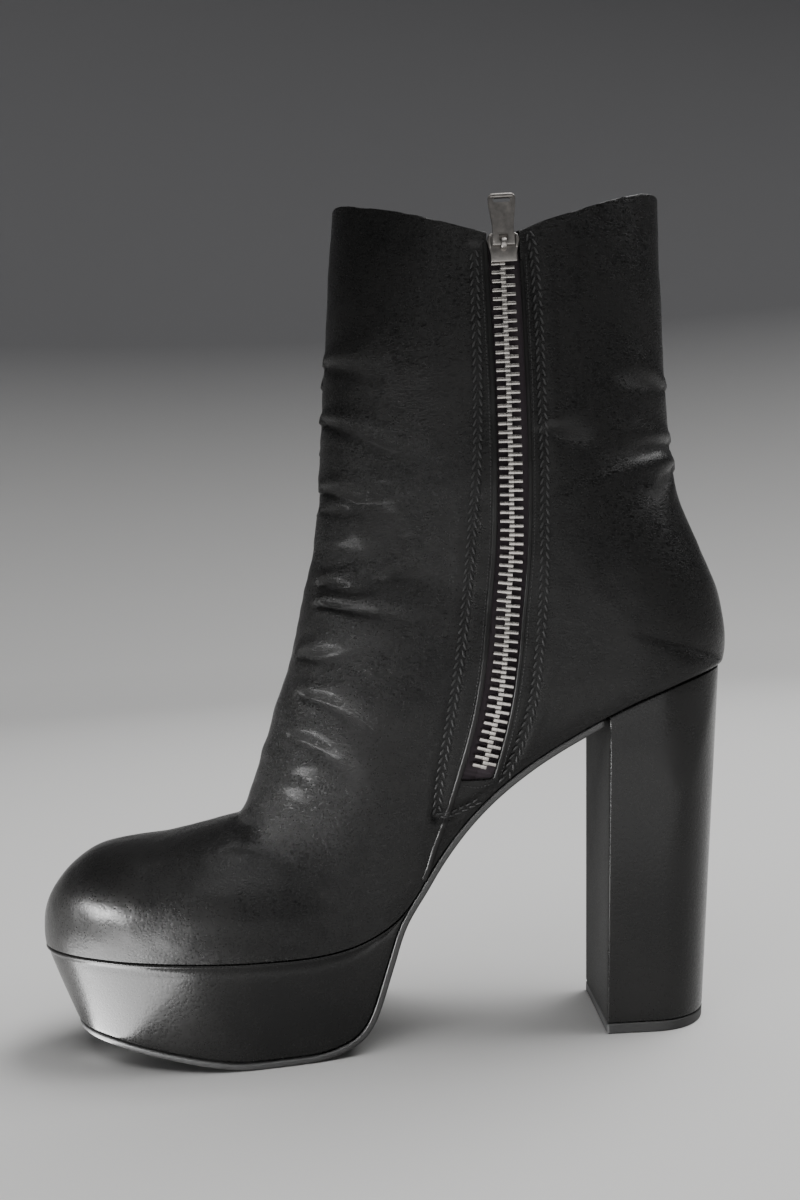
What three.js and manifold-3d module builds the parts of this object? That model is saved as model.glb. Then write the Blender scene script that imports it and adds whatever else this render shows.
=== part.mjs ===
// A platform ankle boot for the right foot, standing empty on its sole: a hollow leather upper with an inner-side zip,
// a leather-covered platform, a thin outsole that climbs the arch, a tall block heel with its top lift, and an insole.
// Millimetres. +X points from the heel to the toe, +Y to the inner (medial) side, +Z up.
// The origin is the centre of the heel's base, on the floor.
import * as THREE from "three";
import { mergeVertices } from "three/addons/utils/BufferGeometryUtils.js";
import Module from "manifold-3d";

const wasm = await Module();
wasm.setup();

// Driving sizes of the last and the leather
const bootLength = 244.2; // back of the counter to the tip of the toe
const counterReach = 33.3; // heel base centre to the back of the counter
const ballWidth = 93; // feather edge to feather edge at the ball
const shaftWidth = 66; // across the standing shaft
const platformHeight = 35.5; // floor to the feather edge at the ball
const seatHeight = 123.2; // floor to the feather edge at the back of the heel seat
const collarHeight = 289; // floor to the highest point of the collar
const collarDip = 19.5; // how far the collar drops at the sides
const wall = 2; // upper leather with its lining
const featherRoll = 1.6; // how far the upper swells out over its feather edge
const counterSwell = 1.1; // how far the counter stands back past the heel seat
const seam = 0.3; // gap between pieces that meet
const soleGap = 0.45; // gap under the upper's feather edge

// Bottom pieces
const outsoleThickness = 2.2;
const insoleThickness = 2.5;
const sockTuck = 0.2; // extra room between insole and wall all round
const backTuck = 0.03; // extra room per millimetre behind the heel's centre, where the counter closes in
const toeSpring = 7.6; // floor to the tread at the toe
const platformToeInset = 14; // how far the platform's toe leans back towards the floor
const platformSideInset = 2.6;
const heelBaseLength = 36.5;
const heelBaseWidth = 52;
const heelTopWidth = 61;
const heelBackLean = 12.6; // how far the heel's back leans out from floor to seat
const heelFrontLean = 7.4; // how far the heel's breast leans back from floor to seat
const topLiftThickness = 3.7;

// Zip
const slotWidth = 10.8;
const foldWidth = 2; // the folded leather edge along the front of the slot
const foldRise = 0.5;
const chainWidth = 7.8;
const toothPitch = 2.95;
const toothThickness = 1.15;
const toothOverlap = 0.85; // how far a tooth's head passes the middle of the chain
const toothProud = 0.3; // how far the teeth stand out of the leather
const tapeWidth = 23;
const tapeThickness = 0.9;
const cordWidth = 1.8;
const cordHeight = 0.8;
const cordInset = 0.5; // from the teeth's outer ends to the cord
const sliderLength = 9.6;
const sliderShoulder = 11;
const sliderMouth = 8.8;
const sliderProud = 1.7; // face of the slider above the leather
const sliderDrop = 0.2; // top of the slider below the collar at the zip
const bridgeWidth = 2;
const bridgeBar = 0.9;
const pullLength = 17;
const pullWidth = 9;
const pullNeck = 7.6;
const pullThickness = 1.3;
const pullBar = 1.2; // the pull's cross bar, under the slider's bridge
const turnGap = 0.25; // running gap around the cross bar

const halfBall = ballWidth / 2;
const halfShaft = shaftWidth / 2;
const seatLift = seatHeight - platformHeight;
const upperHeight = collarHeight - platformHeight;

// A share of the boot's length, of the upper's height and of the seat's lift, as millimetres
const along = (share) => -counterReach + share * bootLength;
const up = (share) => platformHeight + share * upperHeight;
const lift = (share) => platformHeight + share * seatLift;

// Smooth line through points given by hand, as closely spaced points
function smooth(points, steps, closed = false) {
  const curve = new THREE.CatmullRomCurve3(points.map(([x, z]) => new THREE.Vector3(x, z, 0)), closed, "centripetal");
  return curve.getPoints(steps).map((p) => [p.x, p.y]);
}

// Height of a line at x; the line runs from high x to low x
function heightOn(line, x) {
  for (let i = 1; i < line.length; i++) {
    const [x0, z0] = line[i - 1];
    const [x1, z1] = line[i];
    if (x <= x0 && x >= x1 && x0 > x1) return z0 + ((z1 - z0) * (x0 - x)) / (x0 - x1);
  }
  return x > line[0][0] ? line[0][1] : line.at(-1)[1];
}

// A line moved sideways by a distance; positive is to the left of its direction
function offsetLine(line, distance) {
  return line.map(([x, z], i) => {
    const [xa, za] = line[Math.max(0, i - 1)];
    const [xb, zb] = line[Math.min(line.length - 1, i + 1)];
    const length = Math.hypot(xb - xa, zb - za);
    return [x - ((zb - za) / length) * distance, z + ((xb - xa) / length) * distance];
  });
}

// The line where upper and sole meet, from toe to heel: shares of the boot's length and of the seat's lift
const featherTable = [
  { at: 1.003, rise: 0.026 },
  { at: 0.902, rise: 0.023 },
  { at: 0.783, rise: 0.011 },
  { at: 0.675, rise: 0 },
  { at: 0.6, rise: -0.001 },
  { at: 0.553, rise: 0.016 },
  { at: 0.515, rise: 0.055 },
  { at: 0.4865, rise: 0.108 },
  { at: 0.464, rise: 0.178 },
  { at: 0.4435, rise: 0.262 },
  { at: 0.419, rise: 0.353 },
  { at: 0.382, rise: 0.467 },
  { at: 0.325, rise: 0.601 },
  { at: 0.251, rise: 0.727 },
  { at: 0.169, rise: 0.84 },
  { at: 0.087, rise: 0.926 },
  { at: 0, rise: 1 },
];
const featherLine = smooth(featherTable.map((row) => [along(row.at), lift(row.rise)]), 58);
const featherAt = (x) => heightOn(featherLine, x);

// Outline of the feather edge seen from above: shares of the length between toe and seat back, and of half the ball's width
const outlineTable = [
  { at: 0.985, inner: 0.36, outer: 0.2 },
  { at: 0.945, inner: 0.62, outer: 0.5 },
  { at: 0.87, inner: 0.86, outer: 0.755 },
  { at: 0.8, inner: 0.955, outer: 0.895 },
  { at: 0.72, inner: 0.985, outer: 0.99 },
  { at: 0.62, inner: 0.9, outer: 1.02 },
  { at: 0.52, inner: 0.755, outer: 0.925 },
  { at: 0.4, inner: 0.625, outer: 0.775 },
  { at: 0.27, inner: 0.6, outer: 0.685 },
  { at: 0.16, inner: 0.635, outer: 0.66 },
  { at: 0.085, inner: 0.6, outer: 0.61 },
  { at: 0.03, inner: 0.42, outer: 0.425 },
];
const toeOffCentre = 0.09; // the toe's tip lies this share of half the ball's width to the inner side
const seatBack = -counterReach + counterSwell;
const toeTip = bootLength - counterReach - seam;
const onOutline = (share) => seatBack + share * (toeTip - seatBack);
const outline = smooth(
  [
    [toeTip, toeOffCentre * halfBall],
    ...outlineTable.map((row) => [onOutline(row.at), row.inner * halfBall]),
    [seatBack, 0],
    ...outlineTable.toReversed().map((row) => [onOutline(row.at), -row.outer * halfBall]),
  ],
  54,
  true,
).slice(0, -1);

// The outline moved inwards by a distance that may change along it
function outlineInset(inset) {
  return outline.map(([x, y], i) => {
    const [xa, ya] = outline.at(i - 1);
    const [xb, yb] = outline[(i + 1) % outline.length];
    const length = Math.hypot(xb - xa, yb - ya);
    const distance = inset(x);
    return [x - ((yb - ya) / length) * distance, y + ((xb - xa) / length) * distance];
  });
}

// Distance of the feather edge from the middle at x, on the inner (1) or outer (-1) side
const middle = outline.findIndex(([x]) => x === Math.min(...outline.map((p) => p[0])));
const innerEdge = outline.slice(0, middle + 1);
const outerEdge = [...outline.slice(middle), outline[0]].toReversed();
function edgeAt(x, side) {
  const line = side > 0 ? innerEdge : outerEdge;
  if (x <= seatBack + 0.01) return 0;
  if (x >= toeTip - 0.1) return side * toeOffCentre * halfBall;
  return side * heightOn(line, x);
}

// Sections of the upper from toe to collar. Each lies in a plane through the ridge (front and top) and the keel (bottom
// and back). Places are shares of the boot's length and the upper's height; a row with no keelUp stands on the feather
// line. inner and outer are the widest half widths as shares of half the shaft's width, and 0 where the feather edge
// sets the width. ridgeOut moves the ridge to the inner side, widest is where along the section it is widest, crown is
// how square the top is, and base how round the foot of the wall is.
const sectionTable = [
  { ridgeAt: 0.9988, ridgeUp: 0.0455, keelAt: 0.9988, inner: 0, outer: 0, ridgeOut: 0.09, widest: 0.35, crown: 2.3, base: 1 },
  { ridgeAt: 0.9935, ridgeUp: 0.0595, keelAt: 0.993, inner: 0, outer: 0, ridgeOut: 0.09, widest: 0.35, crown: 2.3, base: 1 },
  { ridgeAt: 0.984, ridgeUp: 0.0793, keelAt: 0.984, inner: 0, outer: 0, ridgeOut: 0.09, widest: 0.35, crown: 2.3, base: 1 },
  { ridgeAt: 0.9693, ridgeUp: 0.099, keelAt: 0.9685, inner: 0, outer: 0, ridgeOut: 0.085, widest: 0.35, crown: 2.3, base: 1 },
  { ridgeAt: 0.945, ridgeUp: 0.1203, keelAt: 0.945, inner: 0, outer: 0, ridgeOut: 0.08, widest: 0.34, crown: 2.3, base: 1 },
  { ridgeAt: 0.9144, ridgeUp: 0.1349, keelAt: 0.9144, inner: 0, outer: 0, ridgeOut: 0.075, widest: 0.33, crown: 2.3, base: 1 },
  { ridgeAt: 0.8735, ridgeUp: 0.1408, keelAt: 0.8735, inner: 0, outer: 0, ridgeOut: 0.07, widest: 0.32, crown: 2.2, base: 1 },
  { ridgeAt: 0.8243, ridgeUp: 0.1448, keelAt: 0.8243, inner: 0, outer: 0, ridgeOut: 0.065, widest: 0.3, crown: 2.1, base: 1 },
  { ridgeAt: 0.7752, ridgeUp: 0.1542, keelAt: 0.767, inner: 0, outer: 0, ridgeOut: 0.065, widest: 0.28, crown: 2, base: 1 },
  { ridgeAt: 0.7363, ridgeUp: 0.1621, keelAt: 0.7015, inner: 0, outer: 0, ridgeOut: 0.065, widest: 0.27, crown: 2, base: 1 },
  { ridgeAt: 0.7146, ridgeUp: 0.1669, keelAt: 0.636, inner: 0, outer: 0, ridgeOut: 0.065, widest: 0.27, crown: 2, base: 1 },
  { ridgeAt: 0.7023, ridgeUp: 0.1815, keelAt: 0.5786, inner: 0.3, outer: 0.3, ridgeOut: 0.06, widest: 0.28, crown: 2, base: 1 },
  { ridgeAt: 0.6876, ridgeUp: 0.215, keelAt: 0.5254, inner: 0.9, outer: 1, ridgeOut: 0.055, widest: 0.31, crown: 2, base: 1 },
  { ridgeAt: 0.6679, ridgeUp: 0.2702, keelAt: 0.472, inner: 1, outer: 1.11, ridgeOut: 0.05, widest: 0.34, crown: 2, base: 1 },
  { ridgeAt: 0.6441, ridgeUp: 0.3333, keelAt: 0.4066, inner: 1.02, outer: 1.1, ridgeOut: 0.04, widest: 0.37, crown: 2, base: 1 },
  { ridgeAt: 0.6228, ridgeUp: 0.3925, keelAt: 0.3206, inner: 1.01, outer: 1.05, ridgeOut: 0.03, widest: 0.38, crown: 2, base: 1 },
  { ridgeAt: 0.6085, ridgeUp: 0.4477, keelAt: 0.2183, inner: 0.99, outer: 1.02, ridgeOut: 0.015, widest: 0.385, crown: 2, base: 1.2 },
  { ridgeAt: 0.5974, ridgeUp: 0.4872, keelAt: 0.12, inner: 0.97, outer: 1.0, ridgeOut: 0, widest: 0.385, crown: 2, base: 1.5 },
  { ridgeAt: 0.5909, ridgeUp: 0.5069, keelAt: 0.0545, inner: 0.98, outer: 1.0, ridgeOut: 0, widest: 0.385, crown: 2, base: 2.1 },
  { ridgeAt: 0.588, ridgeUp: 0.5168, keelAt: 0.0176, inner: 0.99, outer: 1.0, ridgeOut: 0, widest: 0.385, crown: 2, base: 2.6 },
  { ridgeAt: 0.586, ridgeUp: 0.5266, keelAt: 0.0045, inner: 0.995, outer: 1.0, ridgeOut: 0, widest: 0.385, crown: 2, base: 2.9 },
  { ridgeAt: 0.5835, ridgeUp: 0.5385, keelAt: 0, keelUp: 0.3767, inner: 0.995, outer: 1.0, ridgeOut: 0, widest: 0.39, crown: 2, base: 3 },
  { ridgeAt: 0.5794, ridgeUp: 0.5621, keelAt: 0.0061, keelUp: 0.432, inner: 0.99, outer: 0.995, ridgeOut: 0, widest: 0.4, crown: 2, base: 2.9 },
  { ridgeAt: 0.5745, ridgeUp: 0.5937, keelAt: 0.0299, keelUp: 0.503, inner: 0.985, outer: 0.99, ridgeOut: 0, widest: 0.42, crown: 2, base: 2.6 },
  { ridgeAt: 0.5708, ridgeUp: 0.6331, keelAt: 0.0553, keelUp: 0.5878, inner: 0.985, outer: 0.985, ridgeOut: 0, widest: 0.45, crown: 2, base: 2.2 },
  { ridgeAt: 0.5659, ridgeUp: 0.6963, keelAt: 0.0606, keelUp: 0.6765, inner: 0.99, outer: 0.99, ridgeOut: 0, widest: 0.48, crown: 2, base: 2 },
  { ridgeAt: 0.5565, ridgeUp: 0.7751, keelAt: 0.0618, keelUp: 0.7751, inner: 1, outer: 1, ridgeOut: 0, widest: 0.5, crown: 2, base: 2 },
  { ridgeAt: 0.5455, ridgeUp: 0.8935, keelAt: 0.0602, keelUp: 0.8935, inner: 1, outer: 1, ridgeOut: 0, widest: 0.5, crown: 2, base: 2 },
  { ridgeAt: 0.534, ridgeUp: 0.98, keelAt: 0.0577, keelUp: 0.98, inner: 1, outer: 1, ridgeOut: 0, widest: 0.5, crown: 2, base: 2 },
  { ridgeAt: 0.5258, ridgeUp: 1.05, keelAt: 0.0561, keelUp: 1.05, inner: 1, outer: 1, ridgeOut: 0, widest: 0.5, crown: 2, base: 2 },
];
const dense = [6, 21]; // rows of the table from the first to the last of these have a section after them
const wallPoints = 10; // points on each side of a section, keel to ridge

// The table as numbers, with sections between the rows worked out by a smooth curve through each column
function sections() {
  const rows = sectionTable.map((row) => {
    const keelX = along(row.keelAt);
    return {
      ridgeX: along(row.ridgeAt),
      ridgeZ: up(row.ridgeUp),
      keelX,
      keelZ: row.keelUp === undefined ? featherAt(keelX) : up(row.keelUp),
      inner: row.inner * halfShaft,
      outer: row.outer * halfShaft,
      ridgeY: row.ridgeOut * halfBall,
      widest: row.widest,
      crown: row.crown,
      base: row.base,
      onSole: row.keelUp === undefined,
    };
  });
  const between = (a, b, c, d) => (-a + 9 * b + 9 * c - d) / 16;
  const made = [];
  rows.forEach((row, i) => {
    made.push(row);
    if (i < dense[0] || i > dense[1]) return;
    const [a, b, c, d] = [rows[i - 1], row, rows[i + 1], rows[i + 2]];
    const mid = { onSole: b.onSole && c.onSole };
    for (const key of Object.keys(row)) if (key !== "onSole") mid[key] = between(a[key], b[key], c[key], d[key]);
    if (mid.onSole) mid.keelZ = featherAt(mid.keelX);
    made.push(mid);
  });
  return made;
}

// The larger of two widths, with a soft change from one to the other
const softMax = (a, b) => (a + b + Math.hypot(a - b, 2 * featherRoll)) / 2;

// Half width of a section on one side (1 inner, -1 outer), at a share r of the way from keel to ridge
function halfWidth(section, side, r) {
  const foot = section.onSole ? edgeAt(section.keelX, side) : 0;
  const full = side > 0 ? section.inner : section.outer;
  const widest = section.onSole ? softMax(foot + featherRoll / 2, full) : full;
  const ridge = side * section.ridgeY;
  if (r < section.widest) {
    const rho = (section.widest - r) / section.widest;
    return foot + (widest - foot) * (1 - rho ** 2) ** (1 / section.base);
  }
  const rho = (r - section.widest) / (1 - section.widest);
  return ridge + (widest - ridge) * (1 - rho ** section.crown) ** (1 / section.crown);
}

// One section as a closed ring: inner side from keel to ridge, then outer side back to the keel
function sectionRing(section) {
  const point = (side, j) => {
    const r = (1 - Math.cos((Math.PI * j) / wallPoints)) / 2;
    return new THREE.Vector3(
      section.keelX + (section.ridgeX - section.keelX) * r,
      side * halfWidth(section, side, r),
      section.keelZ + (section.ridgeZ - section.keelZ) * r,
    );
  };
  const steps = [...Array(wallPoints + 1).keys()];
  return [...steps.map((j) => point(1, j)), ...steps.slice(0, -1).toReversed().map((j) => point(-1, j))];
}

const toePoint = new THREE.Vector3(bootLength - counterReach, toeOffCentre * halfBall, up(0.0335));
const faceRings = sections().map(sectionRing);
faceRings.unshift(faceRings[0].map(() => toePoint));
const lastPoint = faceRings[0].length - 1;

// The upper's faces between rings, as corner triples that face out
function skin(rings) {
  const corners = [];
  for (let i = 1; i < rings.length; i++)
    for (let j = 0; j < lastPoint; j++) {
      const [a, b, c, d] = [rings[i - 1][j], rings[i - 1][j + 1], rings[i][j + 1], rings[i][j]];
      corners.push(a, d, b, b, d, c);
    }
  return corners;
}

// Outward direction at each point of the rings, from the faces around it
const nameOf = (p) => [p.x, p.y, p.z].map((v) => v.toFixed(3)).join();
const normals = new Map();
const faceCorners = skin(faceRings);
for (let i = 0; i < faceCorners.length; i += 3) {
  const [a, b, c] = faceCorners.slice(i, i + 3);
  const n = new THREE.Vector3().subVectors(b, a).cross(new THREE.Vector3().subVectors(c, a));
  for (const p of [a, b, c]) normals.set(nameOf(p), (normals.get(nameOf(p)) ?? new THREE.Vector3()).add(n));
}
for (const n of normals.values()) n.normalize();
const layer = (depth) => faceRings.map((ring) => ring.map((p) => p.clone().addScaledVector(normals.get(nameOf(p)), -depth)));

// The upper's wall between two depths under its face: open underneath along the feather edge, and at the top
function shell(outerDepth, innerDepth) {
  const outer = layer(outerDepth);
  const inner = layer(innerDepth);
  const corners = [...skin(outer), ...skin(inner).toReversed()];
  const quad = (a, b, c, d) => corners.push(a, b, c, a, c, d);
  for (let i = 1; i < outer.length; i++) {
    const closed = [i - 1, i].every((k) => outer[k][0].distanceTo(outer[k][lastPoint]) < 0.01);
    if (closed) continue;
    quad(outer[i][0], outer[i - 1][0], inner[i - 1][0], inner[i][0]);
    quad(outer[i - 1][lastPoint], outer[i][lastPoint], inner[i][lastPoint], inner[i - 1][lastPoint]);
  }
  const [top, topInner] = [outer.at(-1), inner.at(-1)];
  for (let j = 0; j < lastPoint; j++) quad(top[j + 1], top[j], topInner[j], topInner[j + 1]);
  return solidFrom(corners);
}

// A closed solid from a list of corners, three to a face
function solidFrom(corners) {
  const geometry = new THREE.BufferGeometry().setFromPoints(corners);
  return solidOf(geometry);
}

// A closed solid from a geometry, with shared corners merged and flattened faces dropped
function solidOf(geometry) {
  const plain = geometry.index ? geometry.toNonIndexed() : geometry.clone();
  for (const name of Object.keys(plain.attributes)) if (name !== "position") plain.deleteAttribute(name);
  const merged = mergeVertices(plain, 1e-3);
  const faces = [];
  for (let i = 0; i < merged.index.count; i += 3) {
    const [a, b, c] = [0, 1, 2].map((k) => merged.index.getX(i + k));
    if (a !== b && b !== c && c !== a) faces.push(a, b, c);
  }
  const vertProperties = merged.attributes.position.array;
  const facing = (triVerts) => new wasm.Manifold(new wasm.Mesh({ numProp: 3, vertProperties, triVerts }));
  const solid = facing(new Uint32Array(faces));
  return solid.volume() > 0 ? solid : facing(new Uint32Array(faces.toReversed()));
}

// A solid through level rings of the same length, with flat ends
function loft(rings) {
  const corners = [];
  for (let i = 1; i < rings.length; i++)
    rings[i].forEach((c, j) => {
      const k = (j + 1) % rings[i].length;
      const [a, b, d] = [rings[i - 1][j], rings[i - 1][k], rings[i][k]];
      corners.push(a, b, c, b, d, c);
    });
  const flat = (ring) => ring.map((p) => new THREE.Vector2(p.x, p.y));
  const turned = THREE.ShapeUtils.area(flat(rings[0])) < 0;
  for (const [ring, flip] of [[rings[0], !turned], [rings.at(-1), turned]])
    for (const face of THREE.ShapeUtils.triangulateShape(flat(ring), [])) {
      const placed = face.map((k) => ring[k]);
      corners.push(...(flip ? placed.toReversed() : placed));
    }
  return solidFrom(corners);
}

// A side view outline as a solid between two sideways places
function sideCut(points, low, high) {
  const shape = new THREE.Shape(points.map(([x, z]) => new THREE.Vector2(x, z)));
  const geometry = new THREE.ExtrudeGeometry(shape, { depth: high - low, bevelEnabled: false });
  return solidOf(geometry.rotateX(Math.PI / 2).translate(0, high, 0));
}

// The plan outline as a column through levels, each with its own inset
const column = (levels) =>
  loft(levels.map(({ z, inset }) => outlineInset(inset).map(([x, y]) => new THREE.Vector3(x, y, z))));

const reach = ballWidth; // further out than any piece, for cuts
const sideways = [-reach, reach];
const moved = (line, dz) => line.map(([x, z]) => [x, z + dz]);
// The band between two lines that run from toe to heel, as a side view outline
const band = (top, bottom) => [...top, ...bottom.toReversed()];

// Upper: the outer form less the inner one, opened underneath, at the collar and along the zip
const collarTable = [
  { at: 0.57, drop: 0.03 },
  { at: 0.53, drop: 0.02 },
  { at: 0.49, drop: 0.22 },
  { at: 0.43, drop: 0.48 },
  { at: 0.37, drop: 0.76 },
  { at: 0.32, drop: 0.96 },
  { at: 0.285, drop: 1 },
  { at: 0.25, drop: 0.85 },
  { at: 0.19, drop: 0.62 },
  { at: 0.13, drop: 0.37 },
  { at: 0.075, drop: 0.17 },
  { at: 0.02, drop: 0.14 },
];
const collarLine = smooth(collarTable.map((row) => [along(row.at), collarHeight - row.drop * collarDip]), 22);
const collarAt = (x) => heightOn(collarLine, x);

// A place on the upper's side: shares of the boot's length, and of the rise from the feather line to the collar's height
const onSide = (row) => [along(row.at), featherAt(along(row.at)) + row.rise * (collarHeight - featherAt(along(row.at)))];

// Middle line of the zip in side view, from its closed lower end up to the collar
const zipTable = [
  { at: 0.369, rise: 0.0518 },
  { at: 0.3465, rise: 0.1156 },
  { at: 0.3315, rise: 0.1836 },
  { at: 0.3185, rise: 0.2794 },
  { at: 0.3075, rise: 0.3745 },
  { at: 0.301, rise: 0.4974 },
  { at: 0.298, rise: 0.6186 },
  { at: 0.2975, rise: 0.7422 },
  { at: 0.2975, rise: 0.8711 },
  { at: 0.2975, rise: 1.0258 },
];
const zipLine = smooth(zipTable.map(onSide), 22);
const foldTable = [
  { at: 0.4465, rise: 0.004 },
  { at: 0.436, rise: 0.0197 },
  { at: 0.425, rise: 0.0312 },
  { at: 0.4135, rise: 0.0459 },
];
const foldCentre = offsetLine(zipLine, -(slotWidth + foldWidth) / 2);
const foldLine = smooth([...foldTable.map(onSide), ...foldCentre.filter((_, i) => i % 3 === 0)], 16);
const zipBand = (line, width) => band(offsetLine(line, width / 2), offsetLine(line, -width / 2));

function makeUpper() {
  const top = [
    [along(1), collarHeight * 2],
    [along(1), collarLine[0][1]],
    ...collarLine,
    [along(-0.2), collarLine.at(-1)[1]],
    [along(-0.2), collarHeight * 2],
  ];
  // folded leather along the front of the slot and on down to the feather edge
  const fold = shell(-foldRise, wall / 2).intersect(sideCut(zipBand(foldLine, foldWidth), 0, reach));
  return shell(0, wall)
    .add(fold)
    .subtract(sideCut(top, ...sideways))
    .subtract(sideCut(zipBand(zipLine, slotWidth), 0, reach));
}

// Insole: inside the upper, on the feather line
function makeInsole() {
  const inset = (x) => wall + soleGap + sockTuck + Math.max(0, -x) * backTuck;
  const levels = [
    { z: 0, inset },
    { z: 2 * seatHeight, inset },
  ];
  const top = moved(featherLine, soleGap + insoleThickness);
  return column(levels).intersect(sideCut(band(top, moved(featherLine, soleGap)), ...sideways));
}

// Tread of the platform from toe to where the outsole meets the arch: shares of the boot's length and of toe spring
// for the tread, and of the platform's height for its back
const treadTable = [
  { at: 1.0, spring: 1.12 },
  { at: 0.94, spring: 1.02 },
  { at: 0.9, spring: 0.93 },
  { at: 0.85, spring: 0.73 },
  { at: 0.79, spring: 0.42 },
  { at: 0.738, spring: 0.16 },
  { at: 0.697, spring: 0 },
  { at: 0.655, spring: 0 },
  { at: 0.612, spring: 0 },
];
const platformBackTable = [
  { at: 0.579, height: 0.035 },
  { at: 0.558, height: 0.088 },
  { at: 0.5415, height: 0.165 },
  { at: 0.528, height: 0.285 },
  { at: 0.517, height: 0.45 },
  { at: 0.4985, height: 0.795 },
  { at: 0.478, height: 1.16 },
];
const soleDepth = outsoleThickness + soleGap; // outsole and its gap, under the feather line of the arch
const archFrom = 0.447; // the outsole follows the feather line from here back
const archLine = offsetLine(featherLine, soleDepth).filter(([x]) => x < along(archFrom));
const treadCurve = smooth(
  [
    ...treadTable.map((row) => [along(row.at), row.spring * toeSpring]),
    ...platformBackTable.map((row) => [along(row.at), row.height * platformHeight]),
    ...archLine.filter((_, i) => i % 4 === 0),
  ],
  66,
);
// the level stretch of the tread is pressed to the floor, so that the curve does not dip under it
const treadLine = treadCurve.map(([x, z]) => [x, Math.max(z, 0)]);
const treadTop = offsetLine(treadLine, -outsoleThickness);

// The platform's column: full outline at the feather line, leaning in towards the floor, most of all at the toe
const leanFrom = 0.72;
const toeShare = (x) => Math.max(0, (x - along(leanFrom)) / (along(1) - along(leanFrom))) ** 1.5;
const platformLean = (x) => platformSideInset + (platformToeInset - platformSideInset) * toeShare(x);
const noInset = () => 0;
const bottomColumn = () =>
  column([
    { z: -platformHeight / 4, inset: (x) => platformLean(x) * 1.25 },
    { z: platformHeight + toeSpring / 3, inset: noInset },
    { z: seatHeight + platformHeight, inset: noInset },
  ]);

// Heel outline at a height: flat breast, flat sides and a rounded back
const heelFlatSide = 0.45; // share of the heel's length that is flat
const heelSquareness = 0.92; // 1 for a round back
const heelBackPoints = 14;
const heelFront = (z) => heelBaseLength / 2 - (heelFrontLean * z) / seatHeight;
function heelRing(z) {
  const share = z / seatHeight;
  const half = (heelBaseWidth + (heelTopWidth - heelBaseWidth) * share) / 2;
  const front = heelFront(z);
  const back = -heelBaseLength / 2 - heelBackLean * share;
  const turn = front - (front - back) * heelFlatSide;
  const ring = [new THREE.Vector3(front, -half, z), new THREE.Vector3(front, half, z)];
  for (let i = 0; i <= heelBackPoints; i++) {
    const angle = (Math.PI * i) / heelBackPoints;
    const across = Math.sign(Math.cos(angle)) * Math.abs(Math.cos(angle)) ** heelSquareness;
    ring.push(new THREE.Vector3(turn + (back - turn) * Math.sin(angle) ** heelSquareness, half * across, z));
  }
  return ring;
}

function makeHeel() {
  const block = loft([heelRing(topLiftThickness), heelRing(seatHeight + platformHeight / 2)]);
  const above = [...moved(featherLine, -soleGap), [along(-0.2), seatHeight], [along(-0.2), seatHeight * 2], [along(1), seatHeight * 2]];
  const seat = column([
    { z: -1, inset: noInset },
    { z: 2 * seatHeight, inset: noInset },
  ]);
  return block.subtract(sideCut(above, ...sideways)).intersect(seat);
}

const makeTopLift = () => loft([heelRing(0), heelRing(topLiftThickness - seam)]);

function makeOutsole() {
  const behind = [
    [heelFront(0) + soleGap, 0],
    [heelFront(2 * seatHeight) + soleGap, 2 * seatHeight],
    [along(-0.2), 2 * seatHeight],
    [along(-0.2), 0],
  ];
  return bottomColumn()
    .intersect(sideCut(band(treadTop, treadLine), ...sideways))
    .subtract(sideCut(behind, ...sideways));
}

function makePlatform() {
  const tip = 0.462; // the platform's cover runs out here, where outsole and upper close on each other
  const top = moved(featherLine, -soleGap).filter(([x]) => x > along(tip));
  const bottom = offsetLine(treadLine, -outsoleThickness - seam);
  const roof = [[along(1.1), top[0][1]], ...top, [top.at(-1)[0], 0], [along(1.1), 0]];
  const under = [...bottom, [bottom.at(-1)[0], seatHeight * 2], [along(1.1), seatHeight * 2], [along(1.1), bottom[0][1]]];
  return bottomColumn()
    .intersect(sideCut(roof, ...sideways))
    .intersect(sideCut(under, ...sideways));
}

// Zip: places on the leather's outer face, found by looking from the inner side
const faceMesh = new THREE.Mesh(geometryOf(shell(0, wall)), new THREE.MeshBasicMaterial({ side: THREE.DoubleSide }));
const looker = new THREE.Raycaster();
function onLeather(x, z) {
  looker.set(new THREE.Vector3(x, reach, z), new THREE.Vector3(0, -1, 0));
  return looker.intersectObject(faceMesh)[0].point;
}

// A place beside the zip: across to the toe, up along the zip, and out of the leather
const zipCurve = new THREE.CatmullRomCurve3(zipLine.map(([x, z]) => onLeather(x, z)));
zipCurve.arcLengthDivisions = 400;
const zipLength = zipCurve.getLength();
const acrossLook = 6; // how far to each side the leather's slope is read
const frames = new Map();
function frameAt(distance) {
  const key = distance.toFixed(3);
  if (!frames.has(key)) {
    const at = zipCurve.getPointAt(distance / zipLength);
    const upwards = zipCurve.getTangentAt(distance / zipLength);
    const slope = onLeather(at.x + acrossLook, at.z).sub(onLeather(at.x - acrossLook, at.z));
    const out = new THREE.Vector3().crossVectors(upwards, slope).normalize();
    const across = new THREE.Vector3().crossVectors(out, upwards);
    frames.set(key, { at, upwards, across, out });
  }
  return frames.get(key);
}
function placed([distance, across, out]) {
  const frame = frameAt(distance);
  return frame.at.clone().addScaledVector(frame.across, across).addScaledVector(frame.out, out).toArray();
}

const zipTop = collarAt(along(0.2975)) - sliderDrop; // top of the slider
const sliderBottom = zipTop - sliderLength;
const mouthDepth = 1.6; // how far the chain runs into the slider
const teethTop = sliderBottom + mouthDepth;
const firstTooth = 2.4; // from the closed end of the slot to the first tooth
const tapeGap = wall + soleGap; // depth of the tape's face under the leather's face

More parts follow.
